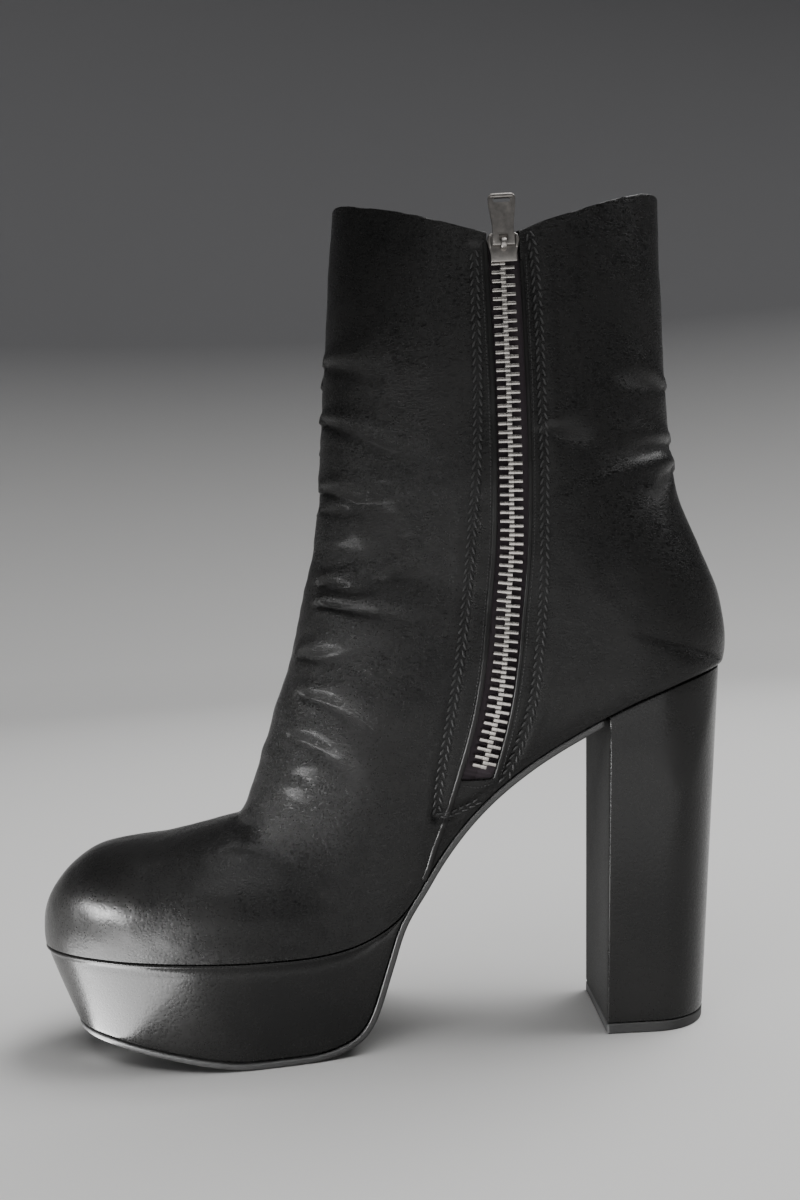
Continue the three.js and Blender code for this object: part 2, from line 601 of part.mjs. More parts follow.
// One side of the chain, made flat and then laid along the zip: teeth clamped over a corded edge.
// side is 1 towards the toe and -1 towards the heel
function makeTeeth(side) {
  const edge = side * (chainWidth / 2);
  const head = -side * toothOverlap;
  const flatBox = (x0, x1, y0, y1, z0, z1) =>
    wasm.Manifold.cube([x1 - x0, Math.abs(y1 - y0), z1 - z0]).translate([x0, Math.min(y0, y1), z0]);
  const teeth = [];
  let start = firstTooth + (side > 0 ? 0 : toothPitch / 2);
  for (; frameAt(start + toothThickness).at.z < teethTop; start += toothPitch)
    teeth.push(flatBox(start, start + toothThickness, head, edge, -tapeGap + soleGap, toothProud));
  const cordFrom = teeth[0].boundingBox().min[0] + toothThickness / 2;
  const cordTo = teeth.at(-1).boundingBox().max[0] - toothThickness / 2;
  const [cordOut, cordIn] = [edge - side * cordInset, edge - side * (cordInset + cordWidth)];
  const cordFloor = -tapeGap + 2 * soleGap;
  const cord = flatBox(cordFrom, cordTo, cordOut, cordIn, cordFloor, cordFloor + cordHeight);
  return wasm.Manifold.union([cord, ...teeth]).warp((place) => placed(place).forEach((value, k) => (place[k] = value)));
}

// Tape: a strip inside the upper, behind the slot
function makeTape() {
  const below = [...moved(featherLine, insoleThickness + soleGap + seam), [along(-0.2), 0], [along(1.1), 0]];
  const low = [2 * zipLine[0][0] - zipLine[1][0], 2 * zipLine[0][1] - zipLine[1][1]];
  const line = [low, ...zipLine.filter(([, z]) => z < sliderBottom), [zipLine.at(-1)[0], zipTop - seam]];
  return shell(tapeGap, tapeGap + tapeThickness)
    .intersect(sideCut(zipBand(line, tapeWidth), 0, reach))
    .subtract(sideCut(below, ...sideways));
}

// A flat outline across the zip as a plate: points are (to the toe, up), from one height out of the leather to another
const sliderPlace = onLeather(zipLine.at(-1)[0], zipTop - sliderLength / 2);
function plate(points, low, high) {
  const shape = new THREE.Shape(points.map(([x, z]) => new THREE.Vector2(x, z)));
  const geometry = new THREE.ExtrudeGeometry(shape, { depth: high - low, bevelEnabled: false });
  return solidOf(geometry.rotateX(Math.PI / 2).translate(0, high, 0)).translate(sliderPlace.toArray());
}
const box = (x0, x1, z0, z1, low, high) =>
  plate(
    [
      [x0, z0],
      [x1, z0],
      [x1, z1],
      [x0, z1],
    ],
    low,
    high,
  );

// The pull turns about its cross bar, which lies across the zip under the slider's bridge
const barSwing = Math.hypot(pullBar / 2, pullThickness / 2) + turnGap;
const hingeUp = sliderLength * 0.1; // above the slider's middle
const hingeOut = sliderProud + barSwing;
const bridgeTop = hingeOut + barSwing + bridgeBar;
const postOut = barSwing + bridgeBar; // outer face of each bridge post from the hinge

// Slider: a shield with a mouth for the chain and a bridge on top
function makeSlider() {
  const half = sliderLength / 2;
  const shield = [
    [-sliderMouth / 2, -half],
    [sliderMouth / 2, -half],
    [sliderMouth / 2, -half * 0.35],
    [sliderShoulder / 2, half * 0.5],
    [sliderShoulder / 2 - 0.5, half * 0.85],
    [sliderShoulder / 2 - 1.6, half],
    [-sliderShoulder / 2 + 1.6, half],
    [-sliderShoulder / 2 + 0.5, half * 0.85],
    [-sliderShoulder / 2, half * 0.5],
    [-sliderMouth / 2, -half * 0.35],
  ];
  const inSlot = [-slotWidth / 2 + seam, slotWidth / 2 - seam];
  const brim = foldRise + seam;
  const body = plate(shield, -tapeGap + seam, sliderProud).intersect(
    box(...inSlot, -half, half, -wall * 2, brim).add(box(-sliderShoulder, sliderShoulder, -half, half, brim, sliderProud)),
  );
  const mouth = box(-chainWidth / 2 - seam, chainWidth / 2 + seam, -half - 1, -half + mouthDepth + seam, -wall * 2, toothProud + seam);
  const posts = box(-bridgeWidth / 2, bridgeWidth / 2, hingeUp - postOut, hingeUp + postOut, sliderProud - seam, bridgeTop);
  const eye = box(-bridgeWidth, bridgeWidth, hingeUp - barSwing, hingeUp + barSwing, sliderProud, hingeOut + barSwing);
  return body.subtract(mouth).add(posts.subtract(eye));
}

// Pull: a plate that widens to its end, with a window for the bridge and a plain slot in its end
function makePull() {
  const foot = hingeUp - pullBar / 2;
  const tip = foot + pullLength;
  const corner = 1;
  const blank = [
    [-pullNeck / 2, foot],
    [pullNeck / 2, foot],
    [pullNeck / 2 - 0.3, foot + pullLength * 0.35],
    [pullWidth / 2, tip - pullLength * 0.2],
    [pullWidth / 2, tip - corner],
    [pullWidth / 2 - corner, tip],
    [-pullWidth / 2 + corner, tip],
    [-pullWidth / 2, tip - corner],
    [-pullWidth / 2, tip - pullLength * 0.2],
    [-pullNeck / 2 + 0.3, foot + pullLength * 0.35],
  ];
  const thick = [hingeOut - pullThickness / 2, hingeOut + pullThickness / 2];
  const windowHalf = bridgeWidth / 2 + turnGap * 2;
  const windowTop = hingeUp + Math.hypot(postOut, bridgeTop - hingeOut) + turnGap;
  const through = [thick[0] - 1, thick[1] + 1];
  const slotHalf = pullWidth / 2 - 1.6;
  return plate(blank, ...thick)
    .subtract(box(-windowHalf, windowHalf, hingeUp + pullBar / 2, windowTop, ...through))
    .subtract(box(-slotHalf, slotHalf, tip - 3, tip - 1.5, ...through));
}

// A solid's faces as a three.js geometry
function geometryOf(solid) {
  const { vertProperties, triVerts, numProp } = solid.getMesh();
  const positions = [];
  for (let i = 0; i < vertProperties.length; i += numProp) positions.push(...vertProperties.subarray(i, i + 3));
  const geometry = new THREE.BufferGeometry();
  geometry.setAttribute("position", new THREE.Float32BufferAttribute(positions, 3));
  geometry.setIndex([...triVerts]);
  return geometry;
}

// Finishes
const leather = { color: 0x141414, roughness: 0.42, metalness: 0 };
const coverLeather = { color: 0x121214, roughness: 0.3, metalness: 0 };
const rubber = { color: 0x1c1c1d, roughness: 0.7, metalness: 0 };
const sock = { color: 0x1d1b19, roughness: 0.75, metalness: 0 };
const cloth = { color: 0x0e0e0f, roughness: 0.9, metalness: 0 };
const nickel = { color: 0xb9b6ae, roughness: 0.28, metalness: 1 };

const boot = new THREE.Group();
function addPiece(name, solid, finish) {
  const mesh = new THREE.Mesh(geometryOf(solid), new THREE.MeshStandardMaterial(finish));
  mesh.name = name;
  boot.add(mesh);
}

addPiece("upper", makeUpper(), leather);
addPiece("insole", makeInsole(), sock);
addPiece("platform", makePlatform(), coverLeather);
addPiece("outsole", makeOutsole(), rubber);
addPiece("heel", makeHeel(), coverLeather);
addPiece("top_lift", makeTopLift(), rubber);
addPiece("zip_tape", makeTape(), cloth);
addPiece("zip_teeth_front", makeTeeth(1), nickel);
addPiece("zip_teeth_rear", makeTeeth(-1), nickel);
addPiece("zip_slider", makeSlider(), nickel);
addPiece("zip_pull", makePull(), nickel);

export default boot;
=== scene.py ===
# %% [markdown]
# # A platform ankle boot, dressed
# The boot stands on a fixed frame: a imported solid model, whose pieces keep their place. This script puts
# the leather, stitches, zip and finishes on that frame. Sizes are in the boot's own millimetres and are turned
# into metres when a mesh is made. +X points to the toe, +Y to the inner side with the zip, and +Z up.

from math import cos, hypot, pi, radians, sin

import bmesh
import bpy
import numpy as np
from mathutils import Matrix, Vector, noise
from mathutils.bvhtree import BVHTree


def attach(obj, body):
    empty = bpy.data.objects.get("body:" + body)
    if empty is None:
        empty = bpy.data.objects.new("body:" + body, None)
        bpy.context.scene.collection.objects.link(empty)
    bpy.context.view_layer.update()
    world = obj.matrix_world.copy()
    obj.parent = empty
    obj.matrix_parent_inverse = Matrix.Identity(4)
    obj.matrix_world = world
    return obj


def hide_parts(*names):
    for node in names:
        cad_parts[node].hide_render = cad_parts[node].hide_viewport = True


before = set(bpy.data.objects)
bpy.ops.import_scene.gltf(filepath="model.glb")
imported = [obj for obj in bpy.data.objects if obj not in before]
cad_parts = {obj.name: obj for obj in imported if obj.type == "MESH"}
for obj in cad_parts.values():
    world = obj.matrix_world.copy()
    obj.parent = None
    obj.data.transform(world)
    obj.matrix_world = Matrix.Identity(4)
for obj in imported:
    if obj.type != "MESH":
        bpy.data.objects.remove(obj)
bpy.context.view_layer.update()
MM = 0.001

# %% [markdown]
# The camera looks squarely at the inner side from about half a metre, as the photograph does, with the boot's floor
# line turned by 3 degrees. A plain pale sweep stands behind the boot, so the floor has no hard horizon.

# %% Camera
eye = Vector((79.9, 475, 149.9)) * MM
roll = radians(3.14)
right = Vector((-cos(roll), 0, -sin(roll)))
upward = Vector((-sin(roll), 0, cos(roll)))
camera_data = bpy.data.cameras.new("camera")
camera_data.lens = 40
camera_data.sensor_width = 36
camera = bpy.data.objects.new("camera", camera_data)
bpy.context.scene.collection.objects.link(camera)
camera.matrix_world = Matrix.Translation(eye) @ Matrix((right, upward, right.cross(upward))).transposed().to_4x4()
bpy.context.scene.camera = camera
print("camera looks along", -right.cross(upward))

# %% [markdown]
# Finishes are node trees. A tree is easier to read as sums and products, so a small class wraps one output of a
# node: arithmetic on it adds Math nodes. Every other node comes from one method.

# %% Shader arithmetic
class Wire:
    """One output of a node. Arithmetic with numbers and other wires adds Math nodes."""

    def __init__(self, finish, socket):
        self.finish, self.socket = finish, socket

    def math(self, operation, *others, clamp=False):
        settings = {"operation": operation, "use_clamp": clamp}
        return self.finish.add("ShaderNodeMath", settings, dict(enumerate((self, *others))))

    def __add__(self, other):
        return self.math("ADD", other)

    def __mul__(self, other):
        return self.math("MULTIPLY", other)

    def __sub__(self, other):
        return self.math("SUBTRACT", other)

    def __rsub__(self, other):
        return (self * -1) + other

    def __pow__(self, other):
        return self.math("POWER", other)

    __radd__ = __add__


class Finish:
    """A material's node tree."""

    def __init__(self, name):
        self.material = bpy.data.materials.new(name)
        self.material.use_nodes = True
        self.tree = self.material.node_tree
        self.tree.nodes.clear()

    def add(self, kind, settings=None, sockets=None, out=0):
        node = self.tree.nodes.new(kind)
        for key, value in (settings or {}).items():
            if key == "stops":
                while len(node.color_ramp.elements) < len(value):
                    node.color_ramp.elements.new(0.5)
                for element, (place, tone) in zip(node.color_ramp.elements, value):
                    element.position, element.color = place, (tone, tone, tone, 1)
            else:
                setattr(node, key, value)
        for key, value in (sockets or {}).items():
            if isinstance(value, Wire):
                self.tree.links.new(value.socket, node.inputs[key])
            else:
                node.inputs[key].default_value = value
        return None if out is None else Wire(self, node.outputs[out])

    def place(self):
        return self.add("ShaderNodeTexCoord", out="Object")

    def stretched(self, scale):
        return self.add("ShaderNodeMapping", {}, {"Vector": self.place(), "Scale": scale})

    def speckle(self, scale, detail=3, roughness=0.55, vector=None):
        sockets = {"Vector": vector or self.place(), "Scale": scale, "Detail": detail, "Roughness": roughness}
        return self.add("ShaderNodeTexNoise", {}, sockets, out=0)

    def ramp(self, wire, *stops):
        return self.add("ShaderNodeValToRGB", {"stops": stops}, {"Fac": wire})

    def blend(self, share, first, second):
        return self.add("ShaderNodeMix", {"data_type": "RGBA"}, {0: share, 6: first, 7: second}, out=2)

    def bump(self, height, distance, strength=1.0, under=None):
        sockets = {"Height": height, "Distance": distance, "Strength": strength}
        if under:
            sockets["Normal"] = under
        return self.add("ShaderNodeBump", {}, sockets)

    def surface(self, **sockets):
        shader = self.add("ShaderNodeBsdfPrincipled", {}, {k.replace("_", " "): v for k, v in sockets.items()})
        self.add("ShaderNodeOutputMaterial", {}, {"Surface": shader}, out=None)
        return self.material


def grey(value, warmth=0.0):
    return (value * (1 + warmth), value, value * (1 - warmth), 1)


# %% [markdown]
# Smooth black calf is not flat black. Its surface is a fine net of shallow pebbles, with pores and faint wrinkles
# where it was bent, and a waxed gloss that is uneven. Colour changes little; nearly all of the look is in the
# bump and the roughness. Creases leave a dry, slightly paler line, which a painted mesh attribute carries.

# %% Upper leather
def make_leather(name, tone, rough, pebble, pebble_depth, coat, worn=False, cloudy=0.12):
    """Leather with a base grey, a roughness, the scale and depth of its pebbles, and a share of waxed coat. Worn
    leather reads its creases from the mesh, and a cloudy one has a more uneven gloss."""
    finish = Finish(name)
    pebbles = finish.add(
        "ShaderNodeTexVoronoi",
        {"feature": "SMOOTH_F1"},
        {"Vector": finish.place(), "Scale": pebble, "Smoothness": 0.5},
    )
    pores = finish.speckle(pebble * 1.6, detail=2)
    cloud = finish.speckle(38, detail=4)
    drift = finish.speckle(170, detail=3)
    shade = finish.bump(drift, 0.0003, 0.22)
    shade = finish.bump(pebbles * 0.8 + pores * 0.7, pebble_depth, 0.5, under=shade)
    rough_map = rough + (cloud - 0.5) * cloudy + (pebbles - 0.4) * 0.12
    colour = finish.blend(finish.ramp(cloud, (0.35, 0), (0.7, 1)), grey(tone), grey(tone * 1.7, 0.03))
    if worn:
        bend = finish.add("ShaderNodeAttribute", {"attribute_name": "flex"}, out="Fac")
        hair = finish.speckle(420, detail=5, roughness=0.62, vector=finish.stretched((1, 1, 2.1)))
        wrinkle = (1 - (hair * 2 - 1).math("ABSOLUTE")) ** 5
        shade = finish.bump(wrinkle * bend * -1, 0.0003, 0.8, under=shade)
        dry = finish.add("ShaderNodeAttribute", {"attribute_name": "wear"}, out="Fac")
        fine = finish.speckle(900, detail=3, vector=finish.stretched((1, 1, 2.4)))
        patchy = dry * finish.ramp(fine, (0.42, 0.25), (0.62, 1))
        share = (patchy * 0.16).math("MAXIMUM", wrinkle * bend * 0.05)
        colour = finish.blend(share, colour, grey(tone * 9, 0.04))
        rough_map = rough_map + patchy * 0.12
    rough_map = rough_map.math("MAXIMUM", 0.12)
    return finish.surface(
        Base_Color=colour,
        Roughness=rough_map,
        Normal=shade,
        Coat_Weight=coat,
        Coat_Roughness=0.16,
        Specular_IOR_Level=0.24,
    )


upper_leather = make_leather("calf_upper", 0.004, 0.28, 1050, 0.00012, 0.06, worn=True)
cover_leather = make_leather("calf_cover", 0.004, 0.27, 1000, 0.00011, 0.14, cloudy=0.22)
breast_leather = make_leather("calf_cover_matt", 0.004, 0.62, 1500, 0.00016, 0.0)
fold_leather = make_leather("calf_edge", 0.004, 0.36, 1700, 0.00004, 0.08)
print("leathers:", *(m.name for m in (upper_leather, cover_leather, breast_leather, fold_leather)))

# %% [markdown]
# The lining is a matt pigskin-like leather, the sock in the boot a little smoother. The outsole and the heel's
# top lift are black rubber with a sanded edge.

# %% Lining, sock and rubber
lining_leather = make_leather("lining_leather", 0.018, 0.62, 1100, 0.00005, 0.0)
sock_leather = make_leather("sock_leather", 0.02, 0.55, 1300, 0.00004, 0.04)


def make_rubber(name, tone, rough):
    finish = Finish(name)
    grain = finish.speckle(2600, detail=4)
    rubbed = finish.speckle(420, detail=3, vector=finish.stretched((1, 1, 6)))
    shade = finish.bump(grain, 0.00004, 0.5)
    colour = finish.blend(finish.ramp(rubbed, (0.4, 0), (0.75, 1)), grey(tone), grey(tone * 1.8))
    return finish.surface(Base_Color=colour, Roughness=rough + (rubbed - 0.5) * 0.25, Normal=shade)


outsole_rubber = make_rubber("sole_rubber", 0.022, 0.5)
lift_rubber = make_rubber("lift_rubber", 0.014, 0.55)
print("rubbers:", outsole_rubber.name, lift_rubber.name)

# %% [markdown]
# The zip is nickel-plated brass, a little dulled by wear, on a tape woven in a fine herringbone. The slider and pull
# are a darker nickel than the teeth, which is painted shade for the dark surroundings they would mirror. The weave's
# waves follow the tape's own UV map, because the tape curves. The sewing thread is twisted black polyester with a
# dull shine.

# %% Metal, tape and thread
def make_metal(name, tone, rough):
    finish = Finish(name)
    smear = finish.speckle(700, detail=4)
    scratch = finish.speckle(900, detail=2, vector=finish.stretched((5, 5, 1)))
    shade = finish.bump(scratch, 0.00001, 0.35)
    colour = finish.blend(finish.ramp(smear, (0.35, 0), (0.7, 1)), grey(tone * 0.8, 0.05), grey(tone, 0.06))
    return finish.surface(Base_Color=colour, Metallic=1.0, Roughness=rough + (smear - 0.5) * 0.2, Normal=shade)


zip_metal = make_metal("zip_nickel", 0.5, 0.28)
# the slider and pull get a darker copy of the same nickel: painted shade for the dark surroundings the metal would
# mirror
pull_metal_painted_shade = make_metal("pull_nickel_painted_shade", 0.3, 0.34)

tape_finish = Finish("zip_tape_weave")
tape_uv = tape_finish.add("ShaderNodeUVMap", {"uv_map": "weave"})


def yarns(way, scale, distortion):
    sockets = {"Vector": tape_uv, "Scale": scale, "Distortion": distortion}
    return tape_finish.add("ShaderNodeTexWave", {"bands_direction": way}, sockets)


weave = yarns("X", 9, 0.4) * 0.6 + yarns("Y", 14, 0.6) * 0.4
tape_cloth = tape_finish.surface(
    Base_Color=tape_finish.blend(weave, (0.012, 0.009, 0.011, 1), (0.06, 0.045, 0.055, 1)),
    Roughness=0.9 - weave * 0.12,
    Normal=tape_finish.bump(weave, 0.00012, 0.8),
)

thread_finish = Finish("thread_black")
twist = thread_finish.speckle(5200, detail=1)
thread = thread_finish.surface(
    Base_Color=thread_finish.blend(twist, grey(0.006), grey(0.03)),
    Roughness=0.5 + twist * 0.15,
    Normal=thread_finish.bump(twist, 0.00005, 0.7),
)
print("zip:", zip_metal.name, tape_cloth.name, thread.name)

# %% [markdown]
# Most pieces here are grown ring by ring: a circle is made, its corners are put on the first section, and its edge is
# extruded to each next section. The rings keep an even mesh that takes a subdivision well, which a cut solid wouldn't.

# %% Growing a piece from rings
def move_ring(ring, places):
    for corner, place in zip(ring, places):
        corner.co = Vector(place) * MM


def next_ring(mesh, ring):
    """Extrudes a ring's edges and returns the new corners in the same order."""
    count = len(ring)
    edges = [mesh.edges.get((ring[i], ring[(i + 1) % count])) for i in range(count)]
    made = bmesh.ops.extrude_edge_only(mesh, edges=edges)["geom"]
    fresh = {g for g in made if isinstance(g, bmesh.types.BMVert)}
    return [next(e.other_vert(v) for e in v.link_edges if e.other_vert(v) in fresh) for v in ring]


def grow(rings, caps=True):
    """A mesh through rings of places that all have the same number of corners."""
    mesh = bmesh.new()
    ring = bmesh.ops.create_circle(mesh, segments=len(rings[0]), radius=1)["verts"]
    first = ring
    move_ring(ring, rings[0])
    for places in rings[1:]:
        ring = next_ring(mesh, ring)
        move_ring(ring, places)
    if caps:
        mesh.faces.new(first)
        mesh.faces.new(ring)
    return mesh


def mesh_object(name, mesh):
    data = bpy.data.meshes.new(name)
    mesh.to_mesh(data)
    mesh.free()
    made = bpy.data.objects.new(name, data)
    bpy.context.scene.collection.objects.link(made)
    return made


boot_pieces = bpy.data.collections.new("boot_pieces")
weld_distance = 0.02 * MM


def finish_piece(name, mesh, material, body="boot", nodes=(), smooth_angle=40, levels=0, outward=True):
    """Turns a bmesh into a piece of the boot: names it, gives it a finish and makes it ride on a body."""
    bmesh.ops.remove_doubles(mesh, verts=mesh.verts, dist=weld_distance)
    if outward:
        bmesh.ops.recalc_face_normals(mesh, faces=mesh.faces)
    piece = mesh_object(name, mesh)
    boot_pieces.objects.link(piece)
    piece.data.materials.append(material)
    piece.data.shade_smooth()
    piece.data.set_sharp_from_angle(angle=radians(smooth_angle))
    if levels:
        rounder = piece.modifiers.new("rounder", "SUBSURF")
        rounder.levels = rounder.render_levels = levels
    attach(piece, body)
    if nodes:
        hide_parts(*nodes)
    return piece


# %% [markdown]
# A few helpers for lines. `smooth` threads a curve through listed points, `easy` reads a table's column as a
# smooth function that never swings past its values, and `beside` moves a line sideways. `lengths_along` and
# `place_at` walk along a line, and `bell` and `step_between` make soft shares between 0 and 1.

# %% Lines
def unit(rows):
    return rows / np.linalg.norm(rows, axis=-1, keepdims=True)


def lengths_along(line):
    return np.concatenate([[0], np.cumsum(np.linalg.norm(np.diff(line, axis=0), axis=1))])


def place_at(distance, run, line):
    return np.array([np.interp(distance, run, column) for column in np.transpose(line)])


def bell(distance, width):
    return np.exp(-((distance / width) ** 2))


def step_between(value, low, high):
    w = np.clip((value - low) / (high - low), 0, 1)
    return w * w * (3 - 2 * w)


def smooth(points, steps, closed=False):
    p = np.array(points, float)
    p = np.vstack([p[-1], p, p[0], p[1]]) if closed else np.vstack([2 * p[0] - p[1], p, 2 * p[-1] - p[-2]])
    spans = len(p) - 3
    line = []
    for t in np.linspace(0, spans, steps + 1):
        i = min(int(t), spans - 1)
        w = t - i
        a, b, c, d = p[i : i + 4]
        k, m, n = (max(np.linalg.norm(q), 1e-6) ** 0.5 for q in (b - a, c - b, d - c))
        start = ((b - a) / k - (c - a) / (k + m) + (c - b) / m) * m
        end = ((c - b) / m - (d - b) / (m + n) + (d - c) / n) * m
        line.append((2 * b - 2 * c + start + end) * w**3 + (3 * c - 3 * b - 2 * start - end) * w**2 + start * w + b)
    return np.array(line)


def easy(at, values):
    at, values = np.asarray(at, float), np.asarray(values, float)
    slope = np.diff(values) / np.diff(at)
    tangent = np.zeros_like(values)
    tangent[0], tangent[-1] = slope[0], slope[-1]
    product = slope[:-1] * slope[1:]
    total = np.where(product > 0, slope[:-1] + slope[1:], 1)
    tangent[1:-1] = np.where(product > 0, 2 * product / total, 0)

    def read(t):
        t = np.clip(np.asarray(t, float), at[0], at[-1])
        i = np.clip(np.searchsorted(at, t, side="right") - 1, 0, len(at) - 2)
        h = at[i + 1] - at[i]
        w = (t - at[i]) / h
        rise = (3 - 2 * w) * w**2
        bend = (w**3 - 2 * w**2 + w) * h * tangent[i] + (w**3 - w**2) * h * tangent[i + 1]
        return values[i] * (1 - rise) + values[i + 1] * rise + bend

    return read


def beside(line, distance):
    line = np.asarray(line, float)
    way = unit(np.gradient(line, axis=0))
    return line + distance * np.column_stack([-way[:, 1], way[:, 0]])


def height_on(line):
    """Height as a function of x, for a line that runs from the toe to the heel."""
    line = np.asarray(line)[::-1]
    return lambda x: np.interp(x, line[:, 0], line[:, 1])


# %% [markdown]
# The boot's sizes are those of the solid model: the length of the last, the width at the ball, the heights of
# platform, heel seat and collar. Tables hold shares of these sizes.

# %% Sizes of the boot
boot_length, counter_reach, ball_width, shaft_width = 244.2, 33.3, 93, 66
platform_height, seat_height, collar_height, collar_dip = 35.5, 123.2, 289, 19.5
wall, feather_roll, counter_swell, sole_gap = 2, 1.6, 1.1, 0.45
half_ball, half_shaft = ball_width / 2, shaft_width / 2
seat_lift, upper_height = seat_height - platform_height, collar_height - platform_height


def along(share):
    return -counter_reach + share * boot_length


def up(share):
    return platform_height + share * upper_height


# where upper and sole meet, from toe to heel: (share of the length, share of the seat's lift)
feather_table = [
    (1.003, 0.026), (0.902, 0.023), (0.783, 0.011), (0.675, 0), (0.6, -0.001), (0.553, 0.016), (0.515, 0.055),
    (0.4865, 0.108), (0.464, 0.178), (0.4435, 0.262), (0.419, 0.353), (0.382, 0.467), (0.325, 0.601),
    (0.251, 0.727), (0.169, 0.84), (0.087, 0.926), (0, 1),
]
feather_line = smooth([(along(at), platform_height + rise * seat_lift) for at, rise in feather_table], 240)
feather_at = height_on(feather_line)

# the feather edge from above: (share from seat back to toe, inner, outer share of half the ball's width)
outline_table = [
    (0.985, 0.36, 0.2), (0.945, 0.62, 0.5), (0.87, 0.86, 0.755), (0.8, 0.955, 0.895), (0.72, 0.985, 0.99),
    (0.62, 0.9, 1.02), (0.52, 0.755, 0.925), (0.4, 0.625, 0.775), (0.27, 0.6, 0.685), (0.16, 0.635, 0.66),
    (0.085, 0.6, 0.61), (0.03, 0.42, 0.425),
]
toe_off_centre = 0.09
seat_back, toe_tip = -counter_reach + counter_swell, boot_length - counter_reach - 0.3
inner_side = [(seat_back + at * (toe_tip - seat_back), inner * half_ball) for at, inner, _ in outline_table]
outer_side = [(seat_back + at * (toe_tip - seat_back), -outer * half_ball) for at, _, outer in outline_table]
tip_y = toe_off_centre * half_ball
outline = smooth([(toe_tip, tip_y), *inner_side, (seat_back, 0), *outer_side[::-1]], 416, True)[:-1]
turn = int(np.argmin(outline[:, 0]))
inner_at = height_on(outline[: turn + 1])
outer_at = height_on(np.vstack([outline[turn:], outline[:1]])[::-1])


def edge_at(x, side):
    x = np.asarray(x, float)
    reach = side * np.where(x >= toe_tip - 0.1, tip_y, inner_at(x) if side > 0 else outer_at(x))
    return np.where(x <= seat_back + 0.01, 0, reach)


print("ball width %.1f, waist width %.1f" % (edge_at(120, 1) + edge_at(120, -1), edge_at(60, 1) + edge_at(60, -1)))

# %% [markdown]
# The upper is one leather tube from toe to collar. It is described by sections that fan from upright at the toe to
# level in the shaft. Each runs from the keel (sole line, then back of the shaft) to the ridge (top of the toe, then
# front of the shaft). The table is the solid model's; smooth columns let the leather use many more sections.

# %% Sections of the upper
# ridge at, ridge up, keel at, keel up (None: on the feather line), inner, outer, ridge out, widest, crown, base
section_table = [
    (0.9988, 0.0455, 0.9988, None, 0, 0, 0.09, 0.35, 2.3, 1),
    (0.9935, 0.0595, 0.993, None, 0, 0, 0.09, 0.35, 2.3, 1),
    (0.984, 0.0793, 0.984, None, 0, 0, 0.09, 0.35, 2.3, 1),
    (0.9693, 0.099, 0.9685, None, 0, 0, 0.085, 0.35, 2.3, 1),
    (0.945, 0.1203, 0.945, None, 0, 0, 0.08, 0.34, 2.3, 1),
    (0.9144, 0.1349, 0.9144, None, 0, 0, 0.075, 0.33, 2.3, 1),
    (0.8735, 0.1408, 0.8735, None, 0, 0, 0.07, 0.32, 2.2, 1),
    (0.8243, 0.1448, 0.8243, None, 0, 0, 0.065, 0.3, 2.1, 1),
    (0.7752, 0.1542, 0.767, None, 0, 0, 0.065, 0.28, 2, 1),
    (0.7363, 0.1621, 0.7015, None, 0, 0, 0.065, 0.27, 2, 1),
    (0.7146, 0.1669, 0.636, None, 0, 0, 0.065, 0.27, 2, 1),
    (0.7023, 0.1815, 0.5786, None, 0.3, 0.3, 0.06, 0.28, 2, 1),
    (0.6876, 0.215, 0.5254, None, 0.9, 1, 0.055, 0.31, 2, 1),
    (0.6679, 0.2702, 0.472, None, 1, 1.11, 0.05, 0.34, 2, 1),
    (0.6441, 0.3333, 0.4066, None, 1.02, 1.1, 0.04, 0.37, 2, 1),
    (0.6228, 0.3925, 0.3206, None, 1.01, 1.05, 0.03, 0.38, 2, 1),
    (0.6085, 0.4477, 0.2183, None, 0.99, 1.02, 0.015, 0.385, 2, 1.2),
    (0.5974, 0.4872, 0.12, None, 0.97, 1, 0, 0.385, 2, 1.5),
    (0.5909, 0.5069, 0.0545, None, 0.98, 1, 0, 0.385, 2, 2.1),
    (0.588, 0.5168, 0.0176, None, 0.99, 1, 0, 0.385, 2, 2.6),
    (0.586, 0.5266, 0.0045, None, 0.995, 1, 0, 0.385, 2, 2.9),
    (0.5835, 0.5385, 0, 0.3767, 0.995, 1, 0, 0.39, 2, 3),
    (0.5794, 0.5621, 0.0061, 0.432, 0.99, 0.995, 0, 0.4, 2, 2.9),
    (0.5745, 0.5937, 0.0299, 0.503, 0.985, 0.99, 0, 0.42, 2, 2.6),
    (0.5708, 0.6331, 0.0553, 0.5878, 0.985, 0.985, 0, 0.45, 2, 2.2),
    (0.5659, 0.6963, 0.0606, 0.6765, 0.99, 0.99, 0, 0.48, 2, 2),
    (0.5565, 0.7751, 0.0618, 0.7751, 1, 1, 0, 0.5, 2, 2),
    (0.5455, 0.8935, 0.0602, 0.8935, 1, 1, 0, 0.5, 2, 2),
    (0.534, 0.98, 0.0577, 0.98, 1, 1, 0, 0.5, 2, 2),
    (0.5258, 1.05, 0.0561, 1.05, 1, 1, 0, 0.5, 2, 2),
]
last_on_sole = 20
columns = list(zip(*section_table))
ridge_x, keel_x = [along(v) for v in columns[0]], [along(v) for v in columns[2]]
ridge_z = [up(v) for v in columns[1]]
keel_z = [float(feather_at(x)) if v is None else up(v) for x, v in zip(keel_x, columns[3])]
moves = np.maximum(
    np.hypot(np.diff(ridge_x), np.diff(ridge_z)),
    np.hypot(np.diff(keel_x), np.diff(keel_z)),
)
stations = np.concatenate([[0], np.cumsum(moves)])
read_ridge_x, read_ridge_z = easy(stations, ridge_x), easy(stations, ridge_z)
read_keel_x, read_keel_z = easy(stations, keel_x), easy(stations, keel_z)
read_shape = {
    name: easy(stations, values)
    for name, values in zip(("inner", "outer", "out", "widest", "crown", "base"), columns[4:])
}
sole_end, shaft_start = stations[last_on_sole], stations[26]
print("sections run over %.0f mm, the sole ends at %.0f" % (stations[-1], sole_end))


def keel_at(t):
    x = read_keel_x(t)
    return x, np.where(t <= sole_end, feather_at(x), read_keel_z(t))


